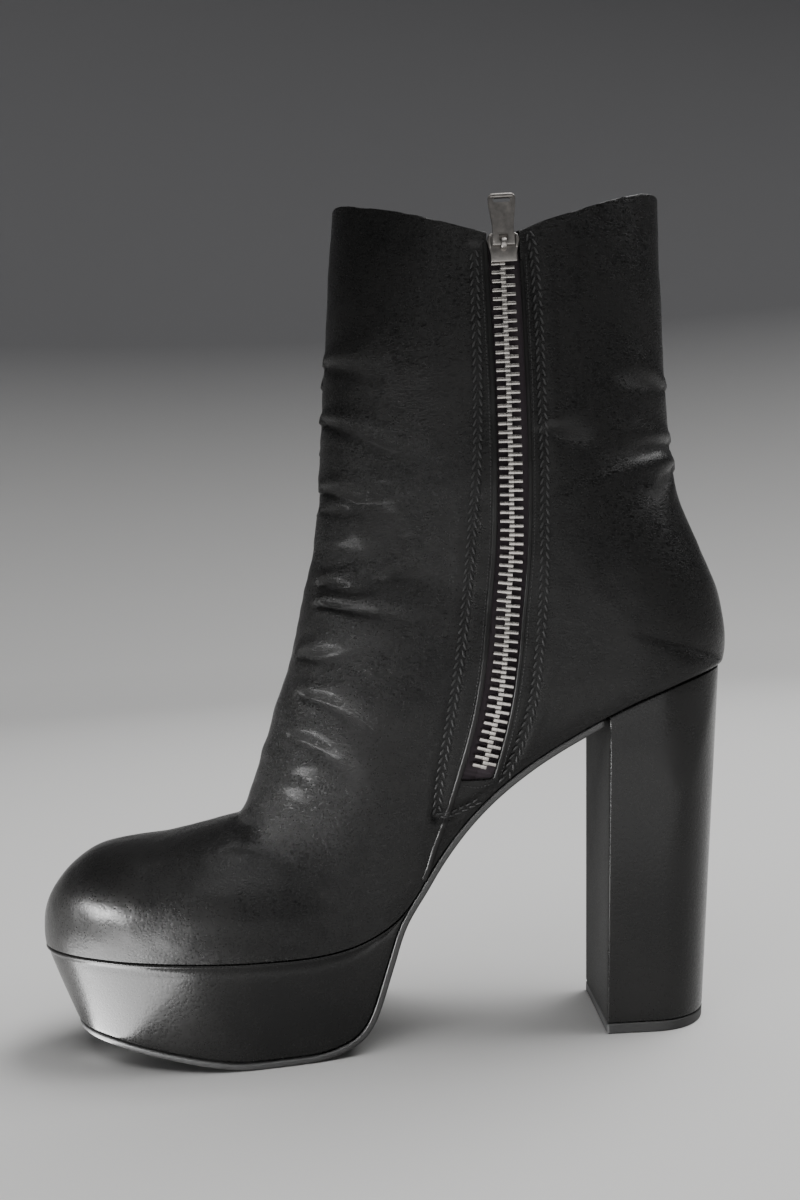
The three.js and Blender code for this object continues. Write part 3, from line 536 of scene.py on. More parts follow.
def skin_places(t, r, side):
    """Places on the leather's face: t along the boot, r from keel to ridge, side 1 inner and -1 outer."""
    t, r = np.broadcast_arrays(np.asarray(t, float), np.asarray(r, float))
    kx, kz = keel_at(t)
    on_sole = t <= sole_end
    foot = np.where(on_sole, edge_at(kx, side), 0)
    full = read_shape["inner" if side > 0 else "outer"](t) * half_shaft
    soft = (foot + feather_roll / 2 + full + np.hypot(foot + feather_roll / 2 - full, 2 * feather_roll)) / 2
    widest = np.where(on_sole, soft, full)
    ridge = side * read_shape["out"](t) * half_ball
    where, crown, base = (read_shape[key](t) for key in ("widest", "crown", "base"))
    low = np.clip((where - r) / where, 0, 1)
    high = np.clip((r - where) / (1 - where), 0, 1)
    below = foot + (widest - foot) * (1 - low**2) ** (1 / base)
    above = ridge + (widest - ridge) * (1 - high**crown) ** (1 / crown)
    x = kx + (read_ridge_x(t) - kx) * r
    z = kz + (read_ridge_z(t) - kz) * r
    return np.column_stack([x.ravel(), (side * np.where(r < where, below, above)).ravel(), z.ravel()])


# %% [markdown]
# The collar dips at both sides. The zip's middle line is given in side view. The mesh's columns are led along both
# edges of the zip's slot, so the slot can be opened by leaving faces out, and its edges stay clean.

# %% Collar and zip line
collar_table = [
    (0.57, 0.03), (0.53, 0.02), (0.49, 0.22), (0.43, 0.48), (0.37, 0.76), (0.32, 0.96), (0.285, 1), (0.25, 0.85),
    (0.19, 0.62), (0.13, 0.37), (0.075, 0.17), (0.02, 0.14),
]
collar_at = height_on(smooth([(along(at), collar_height - drop * collar_dip) for at, drop in collar_table], 160))

zip_table = [
    (0.369, 0.0518), (0.3465, 0.1156), (0.3315, 0.1836), (0.3185, 0.2794), (0.3075, 0.3745), (0.301, 0.4974),
    (0.298, 0.6186), (0.2975, 0.7422), (0.2975, 0.8711), (0.2975, 1.0258),
]
slot_width = 10.8


def on_side(at, rise):
    low = float(feather_at(along(at)))
    return along(at), low + rise * (collar_height - low)


zip_line = smooth([on_side(at, rise) for at, rise in zip_table], 220)
below_zip = [zip_line[0] + (zip_line[0] - zip_line[3]) * k for k in (30, 20, 10, 5, 2)]
long_zip = np.vstack([below_zip, zip_line])


def across_zip(x, z):
    """How far each place lies from the zip's middle line, to the toe, and the nearest point's index."""
    gap = np.hypot(long_zip[:, 0][:, None] - x, long_zip[:, 1][:, None] - z)
    near = np.argmin(gap, axis=0)
    way = unit(np.gradient(long_zip, axis=0)[near])
    return (x - long_zip[near, 0]) * way[:, 1] - (z - long_zip[near, 1]) * way[:, 0], near


def crossing(t):
    """Where the section at t crosses the slot's rear edge, middle and front edge, as shares from keel to ridge."""
    r = np.linspace(0, 1, 500)
    place = skin_places(t, r, 1)
    gap, near = across_zip(place[:, 0], place[:, 2])
    return [float(np.interp(d, gap, r)) for d in (-slot_width / 2, 0, slot_width / 2)]


slot_foot = 88.5


def section_at_slot_foot(which):
    """The section whose crossing (0 rear edge, 1 middle, 2 front edge) lies at the height of the slot's lower end."""
    low, high = stations[13], stations[19]
    for _ in range(30):
        t = (low + high) / 2
        r = crossing(t)[which]
        below = r <= 0 or skin_places(t, r, 1)[0][2] < slot_foot
        low, high = (t, high) if below else (low, t)
    return high


slot_start = section_at_slot_foot(1)
rear_bend, front_bend = (section_at_slot_foot(k) - slot_start for k in (0, 2))
print("the slot opens at section %.1f, bent by %.1f and %.1f" % (slot_start, rear_bend, front_bend))

# %% [markdown]
# Rings for the leather. On each side the corners crowd a little towards the keel and the ridge, where the leather
# bends most. Above the ankle the rings rise to the collar line.

# %% Rings of the upper
row_pitch = 2.5
rear_columns, slot_columns, front_columns = 23, 6, 27
side_columns = rear_columns + slot_columns + front_columns
start_rows = max(2, round(slot_start / row_pitch))
row_places = np.concatenate(
    [
        np.linspace(0.6, slot_start, start_rows, endpoint=False),
        np.linspace(slot_start, shaft_start, round((shaft_start - slot_start) / row_pitch), endpoint=False),
    ]
)
collar_rows = 25
first_slot_row = start_rows


def spread(t):
    """Shares from keel to ridge for the inner side's corners, with two of them on the slot's edges, and their sections,
    which bend near the slot's lower end so that it is level."""
    near = bell(t - slot_start, 24)
    rear, front = crossing(t + rear_bend * near)[0], crossing(t + front_bend * near)[2]
    rear_turn = max(np.arccos(1 - 2 * rear) / pi, 0.1)
    front_turn = max(np.arccos(1 - 2 * front) / pi, rear_turn + 0.05)
    turns = np.concatenate(
        [
            np.linspace(0, rear_turn, rear_columns, endpoint=False),
            np.linspace(rear_turn, front_turn, slot_columns, endpoint=False),
            np.linspace(front_turn, 1, front_columns + 1),
        ]
    )
    places = [0, rear_columns, rear_columns + slot_columns, rear_columns + slot_columns + 12, side_columns]
    bends = [rear_bend * 0.6, rear_bend, front_bend, front_bend * 0.25, 0]
    bend = np.interp(np.arange(side_columns + 1), places, bends)
    return (1 - np.cos(pi * turns)) / 2, t + bend * near


even = (1 - np.cos(pi * np.linspace(0, 1, side_columns + 1))) / 2
rings = []
for t in row_places:
    r, bent = spread(t)
    rings.append(np.vstack([skin_places(bent, r, 1), skin_places(t, even[:-1], -1)[::-1]]))
shaft_sections = np.linspace(shaft_start, stations[-1], 60)
shaft_heights = read_keel_z(shaft_sections)
for k in range(collar_rows + 1):
    share = k / collar_rows
    base = read_keel_z(shaft_start)
    pair = []
    for side in (1, -1):
        t = np.interp(base + share * (collar_at(39.3) - base), shaft_heights, shaft_sections)
        r = spread(t)[0] if side > 0 else even
        tt = np.full(len(r), float(t))
        for _ in range(4):
            x = skin_places(tt, r, side)[:, 0]
            tt = np.interp(base + share * (collar_at(x) - base), shaft_heights, shaft_sections)
        pair.append(skin_places(tt, r, side))
    rings.append(np.vstack([pair[0], pair[1][:-1][::-1]]))
toe_point = np.array([boot_length - counter_reach, tip_y, up(0.0335)])
rings.insert(0, toe_point + (rings[0] - toe_point) * 0.05)
print("rings:", len(rings), "corners in each:", len(rings[0]))

# %% [markdown]
# The rings grow into the skin. The strip under the foot and the slot's faces are taken out again, and one
# subdivision rounds the rest. A coarser copy, moved inwards, becomes the lining.

# %% Growing the skin
def upper_mesh():
    mesh = grow(rings, caps=False)
    mesh.verts.ensure_lookup_table()
    count = len(rings[0])
    mesh.faces.new(mesh.verts[:count])
    corner = {v: (i // count, i % count) for i, v in enumerate(mesh.verts)}
    under, slot = [], []
    for face in mesh.faces:
        places = [corner[v] for v in face.verts]
        rows, cols = [p[0] for p in places], [p[1] for p in places]
        if len(places) > 4:
            continue
        if max(cols) == count - 1 and min(cols) == 0 and min(rows) > 0:
            under.append(face)
        elif min(rows) >= first_slot_row + 1 and min(cols) >= rear_columns and max(cols) <= rear_columns + slot_columns:
            slot.append(face)
    bmesh.ops.delete(mesh, geom=under + slot, context="FACES")
    bmesh.ops.remove_doubles(mesh, verts=mesh.verts, dist=0.00005)
    bmesh.ops.recalc_face_normals(mesh, faces=mesh.faces)
    return mesh


def applied(made):
    """The object's mesh with its modifiers applied; the object itself is dropped."""
    view = bpy.context.evaluated_depsgraph_get()
    data = bpy.data.meshes.new_from_object(made.evaluated_get(view))
    bpy.data.objects.remove(made)
    return data


def outward_check(data):
    """Whether a shell of the upper faces outwards, from the direction of its ridge faces."""
    count = sum(1 if p.normal.y * p.center.y > 0 else -1 for p in data.polygons)
    return count > 0


rough_skin = mesh_object("rough_skin", upper_mesh())
subdivided = rough_skin.modifiers.new("rounder", "SUBSURF")
subdivided.levels = subdivided.render_levels = 1
subdivided.boundary_smooth = "PRESERVE_CORNERS"
skin_data = applied(rough_skin)
if not outward_check(skin_data):
    skin_data.flip_normals()
print("skin:", len(skin_data.vertices), "corners,", len(skin_data.polygons), "faces")

# %% [markdown]
# Folds, seams and edges are drawn in side view. A ray that is sent along Y finds their places on the leather.

# %% Reading places off the skin
def tree_of(data):
    return BVHTree.FromPolygons([v.co.copy() for v in data.vertices], [tuple(p.vertices) for p in data.polygons])


plain_skin = tree_of(skin_data)
directions = {"in": Vector((0, -1, 0)), "out": Vector((0, 1, 0))}
viewing_distance = 0.4


def on_skin(x, z, skin, side="in"):
    """The first place on the leather, looking at it from one side, and the leather's direction there."""
    look = directions[side]
    place, normal, _, _ = skin.ray_cast(Vector((x, 0, z)) * MM - look * viewing_distance, look)
    return None if place is None else (place / MM, normal)


def hits_along(line, skin, side="in", least_y=-np.inf):
    """Places on the leather along a line in side view, and the directions out of it."""
    hits = [hit for x, z in line if (hit := on_skin(x, z, skin, side)) and hit[0].y > least_y]
    return tuple(np.array(part) for part in zip(*hits))


print("at the ankle the leather lies at", on_skin(60, 170, plain_skin)[0])

# %% [markdown]
# Worn leather is never an even surface. Where the ankle bends, it folds into soft troughs with a ridge beside
# each. The folds are placed in side view, where the photograph shows them, and fade out at their ends. The
# side that isn't seen gets similar ones. Broad soft waves run up the shaft, which stands without a leg in it.

# %% Where the leather folds
# (side, width, depth, ridge, places along it)
folds = [
    ("in", 2.2, 0.55, 0.5, [(104, 234), (94.1, 230.2), (82.3, 226.6), (72, 226)]),
    ("in", 2.0, 0.75, 0.7, [(103.7, 213.2), (95.3, 208.7), (83.7, 201.6), (70.6, 195.6), (62, 194)]),
    ("in", 1.8, 0.7, 0.6, [(105, 189.3), (96.6, 186), (91.4, 184.4), (83, 184.5)]),
    ("in", 1.5, 0.4, 0.3, [(105.4, 182.2), (96.8, 180.9), (88, 181)]),
    ("in", 1.9, 0.7, 0.5, [(107, 156.9), (98.1, 154), (93.1, 152.4), (84, 152)]),
    ("in", 1.7, 1.0, 0.9, [(107.4, 149.6), (93.4, 146.8), (80.1, 144), (70.2, 143.6), (61, 146)]),
    ("in", 2.2, 0.6, 0.5, [(115.7, 132.5), (107, 131.8), (97.6, 132), (86, 134)]),
    ("in", 3.4, 0.7, 0.8, [(79.3, 157.5), (65.9, 158.8), (57, 159.5)]),
    ("in", 2.6, 0.5, 0.4, [(26, 203.6), (17, 202), (9.7, 200.8)]),
    ("in", 2.0, 0.5, 0.45, [(-19, 217.6), (-6.5, 220.2), (8, 220)]),
    ("in", 1.9, 0.7, 0.5, [(-18, 199.6), (-14.1, 198.7), (-1.2, 195.4), (14, 192)]),
    ("in", 2.6, 0.6, 0.5, [(-17.7, 190), (-10.7, 182.6), (-3.5, 176.6)]),
    ("in", 2.0, 0.6, 0.5, [(115.5, 119.4), (105.2, 115.8), (95.3, 110.2), (88, 104)]),
    ("in", 2.0, 0.5, 0.4, [(119.7, 106), (109.4, 101), (99.7, 92.3), (95, 85)]),
    ("in", 1.7, 0.22, 0.16, [(143, 69.4), (134, 69.8), (127.8, 70), (117.5, 67.3)]),
    ("in", 1.6, 0.18, 0.14, [(141, 77), (134, 77.6), (127, 78.4)]),
    ("out", 2.2, 0.6, 0.5, [(103, 226), (92, 221), (78, 219), (62, 222)]),
    ("out", 2.0, 0.8, 0.7, [(104, 203), (93, 198), (80, 194), (64, 193), (50, 196)]),
    ("out", 2.4, 0.6, 0.5, [(60, 207), (44, 204), (28, 206)]),
    ("out", 1.9, 0.8, 0.7, [(106, 181), (96, 177), (84, 175.5), (70, 177)]),
    ("out", 2.0, 0.9, 0.8, [(107.5, 155), (97, 151), (82, 148.6), (66, 149.5), (52, 153)]),
    ("out", 2.2, 0.6, 0.6, [(114, 136), (102, 134), (88, 135), (72, 138.5)]),
    ("out", 2.0, 0.6, 0.5, [(116.5, 117), (106, 113), (95, 108), (84, 101)]),
    ("out", 2.0, 0.5, 0.4, [(121, 103), (111, 97), (102, 88)]),
    ("out", 1.7, 0.45, 0.35, [(144, 68.5), (133, 68), (121, 65), (110, 61)]),
    ("out", 1.9, 0.7, 0.5, [(-18, 200), (-14, 199), (0, 195), (14, 192)]),
    ("out", 2.4, 0.6, 0.5, [(-17, 188), (-9, 181), (0, 176), (12, 174)]),
    ("out", 2.0, 0.5, 0.45, [(-19, 218.6), (-6, 221), (9, 222)]),
]


def traced(side, places, step=3.0):
    """Places in side view as a dense line on the leather."""
    line = smooth(places, max(6, int(np.abs(np.diff(places, axis=0)).sum() / step)))
    return hits_along(line, plain_skin, side)[0]


count = len(skin_data.vertices)
skin = np.empty(count * 3)
skin_data.vertices.foreach_get("co", skin)
skin = skin.reshape(-1, 3) / MM
out_way = np.empty(count * 3, np.float32)
skin_data.vertices.foreach_get("normal", out_way)
out_way = out_way.reshape(-1, 3).astype(float)


def near_line(points, line, reach):
    """For each point within reach of a line: its index, distance, share along the line and signed height above it."""
    low, high = line.min(0) - reach, line.max(0) + reach
    index = np.where(((points > low) & (points < high)).all(1))[0]
    if not len(index):
        return index, index, index, index
    some = points[index]
    run = lengths_along(line)
    best, share, above = np.full(len(some), 1e9), np.zeros(len(some)), np.zeros(len(some))
    for a, b, start, length in zip(line[:-1], line[1:], run, np.diff(run)):
        if length < 1e-6:
            continue
        w = np.clip(((some - a) @ (b - a)) / length**2, 0, 1)
        foot = a + w[:, None] * (b - a)
        gap = np.linalg.norm(some - foot, axis=1)
        closer = gap < best
        best[closer] = gap[closer]
        share[closer] = ((start + w * length) / run[-1])[closer]
        above[closer] = (some[:, 2] - foot[:, 2])[closer]
    close = best < reach
    return index[close], best[close], share[close], above[close]


move, wear = np.zeros(count), np.zeros(count)
fold_strength, trough_strength, hill_strength, hill_away, hill_width = 1.35, 1.3, 1.25, 2.3, 1.7
for side, width, depth, ridge, places in folds:
    line = traced(side, places)
    index, gap, share, above = near_line(skin, line, width * 9)
    fade = fold_strength * step_between(share, 1, 0.25)
    spread_out = width * (0.6 + 1.5 * share)
    signed = np.where(above > 0, gap, -gap)
    trough = -trough_strength * depth * bell(gap, spread_out)
    hill = hill_strength * ridge * bell(signed - hill_away * spread_out, hill_width * spread_out)
    move[index] += fade * (trough + hill)
    wear[index] = np.maximum(wear[index], fade * bell(gap, 0.6 * spread_out))
print("folds:", len(folds), "deepest %.2f mm, highest %.2f mm" % (move.min(), move.max()))

# %% [markdown]
# Between the folds the leather still waves a little, most of all in the unsupported shaft and least over the stiff
# toe box and counter. At the back, the counter's upper end shows as a soft step.

# %% Soft waves, counter and seams
def waves(points, size, seed):
    """Soft noise between about -1 and 1, with waves of the given sizes along x, y and z."""
    return np.array([noise.noise(Vector((p[0] / size[0] + seed, p[1] / size[1], p[2] / size[2]))) for p in points])


loose = 0.25 + 0.75 * step_between(skin[:, 2], 120, 170)
loose *= 1 - 0.6 * step_between(skin[:, 0], 150, 185)
move += loose * (0.7 * waves(skin, (24, 24, 60), 3.1) + 0.35 * waves(skin, (11, 11, 18), 8.7))
ankle = bell(skin[:, 2] - 175, 48) * step_between(skin[:, 0], 45, 80)
instep = bell(skin[:, 0] - 118, 22) * bell(skin[:, 2] - 92, 26)
flex = np.clip(ankle + 0.9 * instep, 0, 1)
move += flex * (1.0 * waves(skin, (34, 34, 10), 5.3) + 0.35 * waves(skin, (14, 14, 4.5), 2.9))
move += 0.12 * waves(skin, (5, 5, 6), 1.7)

counter_line = [(34, 178), (24, 184), (12, 189.5), (0, 193.5), (-10, 196), (-17, 197)]
counter_step = 0.35
for side in ("in", "out"):
    line = traced(side, counter_line)
    index, gap, share, above = near_line(skin, line, 9)
    signed = np.where(above > 0, gap, -gap)
    move[index] += step_between(share, 0, 0.35) * counter_step * (bell(signed + 4, 3) - bell(gap, 1.6))

# doubled leather beside the zip stands a little proud, and the thread pulls the leather in along each seam
front_seam = [
    (49, 264.7), (49.4, 251.4), (50.4, 214.8), (51.8, 195), (55, 168.5), (58.2, 145.4), (62.5, 122.4), (66.9, 102.6),
    (69.9, 89.2), (71.8, 77.4),
]
rear_seam = [
    (30.8, 270.1), (29.5, 263.4), (28.8, 240.1), (29.1, 216.9), (29.4, 193.6), (30.4, 173.8), (32.3, 147.3),
    (34.5, 130.8), (37.5, 114.2), (42.1, 100.9), (46.9, 90.3), (49.1, 85.9),
]
turned_seam = [(71.8, 77.4), (66.4, 77.8), (61.6, 79.4), (56.8, 81.5), (49.1, 85.9)]
seam_depth, beside_seam = 0.6, 0.25
for places in (front_seam, rear_seam, turned_seam):
    line = traced("in", places, 2.0)
    index, gap, share, above = near_line(skin, line, 8)
    move[index] += beside_seam * bell(gap - 3.6, 1.5) - seam_depth * bell(gap**2, 4)

# near the sole the leather is pulled tight: it keeps its place there, and its lowest edge is a little worn
move *= step_between(skin[:, 2] - feather_at(skin[:, 0]), 0.5, 6)
skin += out_way * move[:, None]
skin_data.vertices.foreach_set("co", (skin * MM).astype(np.float32).ravel())
edge_wear = 0.35 * step_between(skin[:, 2] - feather_at(skin[:, 0]), 7, 1.5)
wear = np.maximum(wear * 0.8, edge_wear)
flex = np.clip(0.25 + 0.75 * flex + wear, 0, 1) * step_between(skin[:, 0], 190, 150)
for name, values in (("wear", wear), ("flex", flex)):
    skin_data.attributes.new(name, "FLOAT", "POINT").data.foreach_set("value", values.astype(np.float32))
skin_data.update()
leather_skin = tree_of(skin_data)
print("leather moved between %.2f and %.2f mm" % (move.min(), move.max()))

# %% [markdown]
# Leather has thickness at its open edges. The boundary edges of the skin are extruded inwards and the new corner is
# bevelled, so the collar and the slot show a rounded edge instead of paper.

# %% Thickness at the edges
edge_depth, edge_bevel = 1.9, 0.45
toe_start, under_rim = 150, 4
mesh = bmesh.new()
mesh.from_mesh(skin_data)
open_edges = [e for e in mesh.edges if e.is_boundary]
open_corners = {v for e in open_edges for v in e.verts}
inwards = {v: v.normal.copy() for v in open_corners}
made = bmesh.ops.extrude_edge_only(mesh, edges=open_edges)["geom"]
for fresh in [g for g in made if isinstance(g, bmesh.types.BMVert)]:
    source = next(e.other_vert(fresh) for e in fresh.link_edges if e.other_vert(fresh) in inwards)
    fresh.co -= inwards[source] * edge_depth * MM


def on_rim(corner):
    """Whether an open corner is on the collar or the slot, and not under the foot."""
    x, _, z = corner.co / MM
    return x < toe_start and z > feather_at(x) + under_rim


corner_edges = [e for e in open_edges if all(on_rim(v) for v in e.verts)]
bmesh.ops.bevel(mesh, geom=corner_edges, offset=edge_bevel * MM, segments=2, profile=0.5, affect="EDGES", material=-1)
upper_piece = finish_piece("upper_skin", mesh, upper_leather, nodes=("upper",), smooth_angle=60)
print("upper:", sum(len(p.vertices) - 2 for p in upper_piece.data.polygons), "triangles")

# %% [markdown]
# The lining is the same net of rings, moved inwards by the leather's thickness. Its faces look into the boot.

# %% Lining
mesh = upper_mesh()
for corner in mesh.verts:
    corner.normal_update()
ways_out = {v: v.normal.copy() for v in mesh.verts}
widest = max(mesh.verts, key=lambda v: v.co.y)
turned = 1 if ways_out[widest].y > 0 else -1
for corner, way in ways_out.items():
    corner.co -= way * turned * edge_depth * MM
if turned > 0:
    bmesh.ops.reverse_faces(mesh, faces=mesh.faces)
lining = finish_piece("lining", mesh, lining_leather, outward=False, smooth_angle=80, levels=1)
print("lining:", len(lining.data.polygons), "faces")

# %% [markdown]
# The edge of the front panel is turned over and runs from the collar down the front of the slot to the sole. It is a
# thin lens swept along its line, with its borders sunk in the leather. The rear edge of the slot is turned too, but
# thinner.

# %% Turned edges
def swept(path, outs, profile):
    """A closed bar along a path. The profile holds places (to the left of the path, out of the leather)."""
    left = unit(np.cross(outs, np.gradient(path, axis=0)))
    return grow([place + profile[:, :1] * l + profile[:, 1:] * out for place, l, out in zip(path, left, outs)])


def lens(width, rise, sunk=0.35, corners=12):
    turn_round = np.linspace(0, 2 * pi, corners, endpoint=False)
    across, out = np.cos(turn_round) * width / 2, np.sin(turn_round)
    return np.column_stack([across, np.where(out > 0, out * rise, out * sunk)])


def laid(places, steps):
    """A line in side view as places on the leather and the evened directions out of it."""
    path, outs = hits_along(smooth(places, steps), leather_skin, least_y=0)
    return path, unit(np.array([outs[max(0, i - 3) : i + 4].mean(0) for i in range(len(outs))]))


slot_top = float(collar_at(39.3))
front_edge = beside(zip_line, -(slot_width / 2 + 0.55))
rear_edge = beside(zip_line, slot_width / 2 + 0.45)
fold_foot_table = [(0.452, 0.0035), (0.4455, 0.006), (0.436, 0.0197), (0.425, 0.0312), (0.4135, 0.0459)]
fold_foot = [on_side(at, rise) for at, rise in fold_foot_table]
front_path = fold_foot + [tuple(p) for p in front_edge[6::12] if p[1] < slot_top + 0.6]
rear_path = [tuple(p) for p in rear_edge[0::12] if p[1] < slot_top + 0.6]
path, outs = laid(front_path, 260)
turned_front = finish_piece("turned_edge_front", swept(path, outs, lens(1.8, 0.42)), fold_leather)
path, outs = laid(rear_path, 240)
turned_rear = finish_piece("turned_edge_rear", swept(path, outs, lens(1.4, 0.36)), fold_leather)
print("turned edges:", len(turned_front.data.polygons), len(turned_rear.data.polygons), "faces")

# %% [markdown]
# The seams are sewn with thick black thread, in double rows whose stitches lean towards each other. A stitch is a
# small stretched sphere with 30 faces, laid on the leather under it. All the thick stitches are one piece and all the
# fine ones another.

# %% Stitches
around, rings_of_stitch = 6, 5
stitch_faces = around * rings_of_stitch


def add_stitch(mesh, place, ahead, out, length, thickness, lean):
    ahead, out = Vector(ahead).normalized(), Vector(out).normalized()
    side = out.cross(ahead).normalized()
    way = (ahead * cos(lean) + side * sin(lean)).normalized()
    side = out.cross(way).normalized()
    matrix = Matrix((side * thickness / 2, out * thickness / 2, way * length / 2)).transposed() * MM
    matrix = Matrix.Translation(Vector(place) * MM) @ matrix.to_4x4()
    bmesh.ops.create_uvsphere(mesh, u_segments=around, v_segments=rings_of_stitch, radius=1, matrix=matrix)


def sew(mesh, places, offset, pitch, length, thickness, lean, start=0.0, sunk=0.1):
    """A row of stitches beside a line in side view, sunk a little into the leather."""
    path, outs = hits_along(beside(smooth(places, 300), offset), leather_skin, least_y=5)
    run = lengths_along(path)
    for distance in np.arange(pitch / 2 + start, run[-1], pitch):
        place, out = place_at(distance, run, path), place_at(distance, run, outs)
        ahead = place_at(distance + 1, run, path) - place_at(distance - 1, run, path)
        add_stitch(mesh, place + out * (thickness / 2 - sunk), ahead, out, length, thickness, lean)


double = bmesh.new()
row_gap, pitch, lean = 2.0, 2.9, radians(24)
for places in (front_seam, rear_seam):
    sew(double, places, -row_gap / 2, pitch, 2.7, 0.85, lean, sunk=0.2)
    sew(double, places, row_gap / 2, pitch, 2.7, 0.85, -lean, start=0.9, sunk=0.2)
sew(double, turned_seam[:4], -0.7, 2.6, 2.4, 0.7, radians(10), sunk=0.15)
sew(double, turned_seam[:4], 0.7, 2.6, 2.4, 0.7, radians(-10), start=1.2, sunk=0.15)
seam_thread = finish_piece("seam_stitches", double, thread, smooth_angle=80)
fine = bmesh.new()
fine_lines = [
    (beside(zip_line, -(slot_width / 2 + 2.0))[4:-4:8], 0.1),
    (beside(zip_line, slot_width / 2 + 1.9)[2:-4:8], -0.1),
    ([(62.6, 87.0), (57.3, 86.0), (52.2, 87.1)], 0),
]
for line, tilt in fine_lines:
    sew(fine, [tuple(p) for p in line if p[1] < slot_top - 1], 0, 1.25, 0.95, 0.34, tilt, sunk=0.06)
edge_thread = finish_piece("edge_stitches", fine, thread, smooth_angle=80)
thick_count, fine_count = (len(piece.data.polygons) // stitch_faces for piece in (seam_thread, edge_thread))
print("stitches:", thick_count, "thick and", fine_count, "fine")

# %% [markdown]
# The zip lies in the slot. Its tape is a strip behind the leather, whose own UV map carries the weave. The teeth
# are clamped over the tape's edge: bars with a raised head that meet in the middle, first one side and then the
# other. Both are laid out on the same middle line as the solid model's.

# %% Zip tape
whole = grow(rings)
whole_skin = BVHTree.FromBMesh(whole)
whole.free()


def under_leather(x, z, depth):
    low, high = float(feather_at(x)) + 0.7, float(collar_at(x)) - 0.2
    place, out = on_skin(x, min(max(z, low), high), whole_skin)
    out = out if out.y > 0 else -out
    return np.array(place) - np.array(out) * depth


tape_depth, tape_half, tape_thickness, middle_dip, weave_step = 2.45, 11.5, 0.8, 0.35, 0.17
tape_line = np.vstack([below_zip[-2], zip_line[zip_line[:, 1] < slot_top - 0.4]])[::2]
tape_across = np.concatenate([np.linspace(-tape_half, -1.0, 8), [-0.35, 0.35], np.linspace(1.0, tape_half, 8)])
tape_rows = []
for centre, way in zip(tape_line, unit(np.gradient(tape_line, axis=0))):
    side_way = np.array([way[1], -way[0]])
    face = [under_leather(*(centre + side_way * a), tape_depth + middle_dip * bell(a, 0.5)) for a in tape_across]
    back = [p - np.array((0, tape_thickness, 0)) for p in face[::-1]]
    tape_rows.append(np.array(face + back))
mesh = grow(tape_rows)
weave_map = mesh.loops.layers.uv.new("weave")
mesh.verts.ensure_lookup_table()
per_row = len(tape_rows[0])
rank = {v: i for i, v in enumerate(mesh.verts)}
for face in mesh.faces:
    for loop in face.loops:
        row, column = divmod(rank[loop.vert], per_row)
        column = min(column, per_row - 1 - column)
        loop[weave_map].uv = (tape_across[column] / 10, row * weave_step)
finish_piece("zip_tape_woven", mesh, tape_cloth, nodes=("zip_tape",))
print("tape:", len(tape_rows), "rows of", per_row)

# %% [markdown]
# Each tooth is a bar with a broader head. The two rows stand half a pitch apart, and their heads overlap in the
# middle. The chain wanders a little to either side of the slot's middle, as in the photograph.

# %% Teeth
chain_width, tooth_pitch, tooth_thickness, tooth_overlap, tooth_proud = 7.8, 2.95, 1.15, 0.85, 0.3
head_reach, chain_start, tooth_root = 1.15, 2.4, -2.0
slider_length, slider_gap = 9.6, 0.2
teeth_top = slot_top - slider_gap - slider_length + 1.6
zip_places = np.array([under_leather(x, z, 0) for x, z in zip_line if z < slot_top - 0.3])
zip_run = lengths_along(zip_places)


def zip_frame(distance):
    """Place, upward, across (to the toe) and outward directions at a distance along the zip."""
    before, at, after = (place_at(distance + d, zip_run, zip_places) for d in (-2, 0, 2))
    rise = unit(after - before)
    slope = under_leather(at[0] + 6, at[2], 0) - under_leather(at[0] - 6, at[2], 0)
    out = unit(np.cross(rise, slope))
    return at, rise, np.cross(out, rise), out


def add_block(mesh, frame_here, across, along_zip, out):
    """A block beside the zip's middle, given by its (low, high) in each direction."""
    at, rise, sideways, outward = frame_here
    low, high = np.transpose((across, along_zip, out))
    ways = np.array((sideways, rise, outward))
    place = at + (low + high) / 2 @ ways
    axes = Matrix(ways * (high - low)[:, None]).transposed()
    bmesh.ops.create_cube(mesh, size=1, matrix=Matrix.Translation(Vector(place) * MM) @ (axes * MM).to_4x4())


chain = bmesh.new()
drift_at = easy([85, 110, 160, 205, 270], [-0.9, -0.9, 0, 0.7, 0.4])
teeth = 0
for side in (1, -1):
    distance = chain_start + (0 if side > 0 else tooth_pitch / 2) + tooth_thickness / 2
    while zip_frame(distance)[0][2] < teeth_top:
        here = zip_frame(distance)
        drift = float(drift_at(here[0][2]))
        bar = sorted((drift - side * tooth_overlap, drift + side * chain_width / 2))
        head = sorted((drift - side * tooth_overlap, drift + side * head_reach))
        half = tooth_thickness / 2
        add_block(chain, here, bar, (-half, half), (tooth_root, tooth_proud - 0.1))
        add_block(chain, here, head, (-half * 1.15, half * 1.15), (tooth_root + 0.4, tooth_proud + 0.2))
        distance += tooth_pitch
        teeth += 1
bmesh.ops.bevel(chain, geom=chain.edges[:], offset=0.2 * MM, segments=2, profile=0.5, affect="EDGES", material=-1)
finish_piece("zip_chain", chain, zip_metal, nodes=("zip_teeth_front", "zip_teeth_rear"))
print("teeth:", teeth)

# %% [markdown]
# The slider is a cast shield that holds both rows of teeth, with a bridge over which the pull turns. The pull is
# a flat tab that stands up, with a window for the bridge and a thicker bar across its end. Both are cut from flat
# outlines, given thickness and rounded. The pull turns about the hinge of the solid model.

# %% Slider and pull
slider_middle = under_leather(zip_line[-1][0], slot_top - slider_gap - slider_length / 2, 0)
half_bar, half_pull, turn_gap, bridge_bar = 0.6, 0.65, 0.25, 0.9
bar_swing = hypot(half_bar, half_pull) + turn_gap
hinge_up, slider_proud = slider_length * 0.1, 1.7
hinge_out = slider_proud + bar_swing
bridge_top = hinge_out + bar_swing + bridge_bar


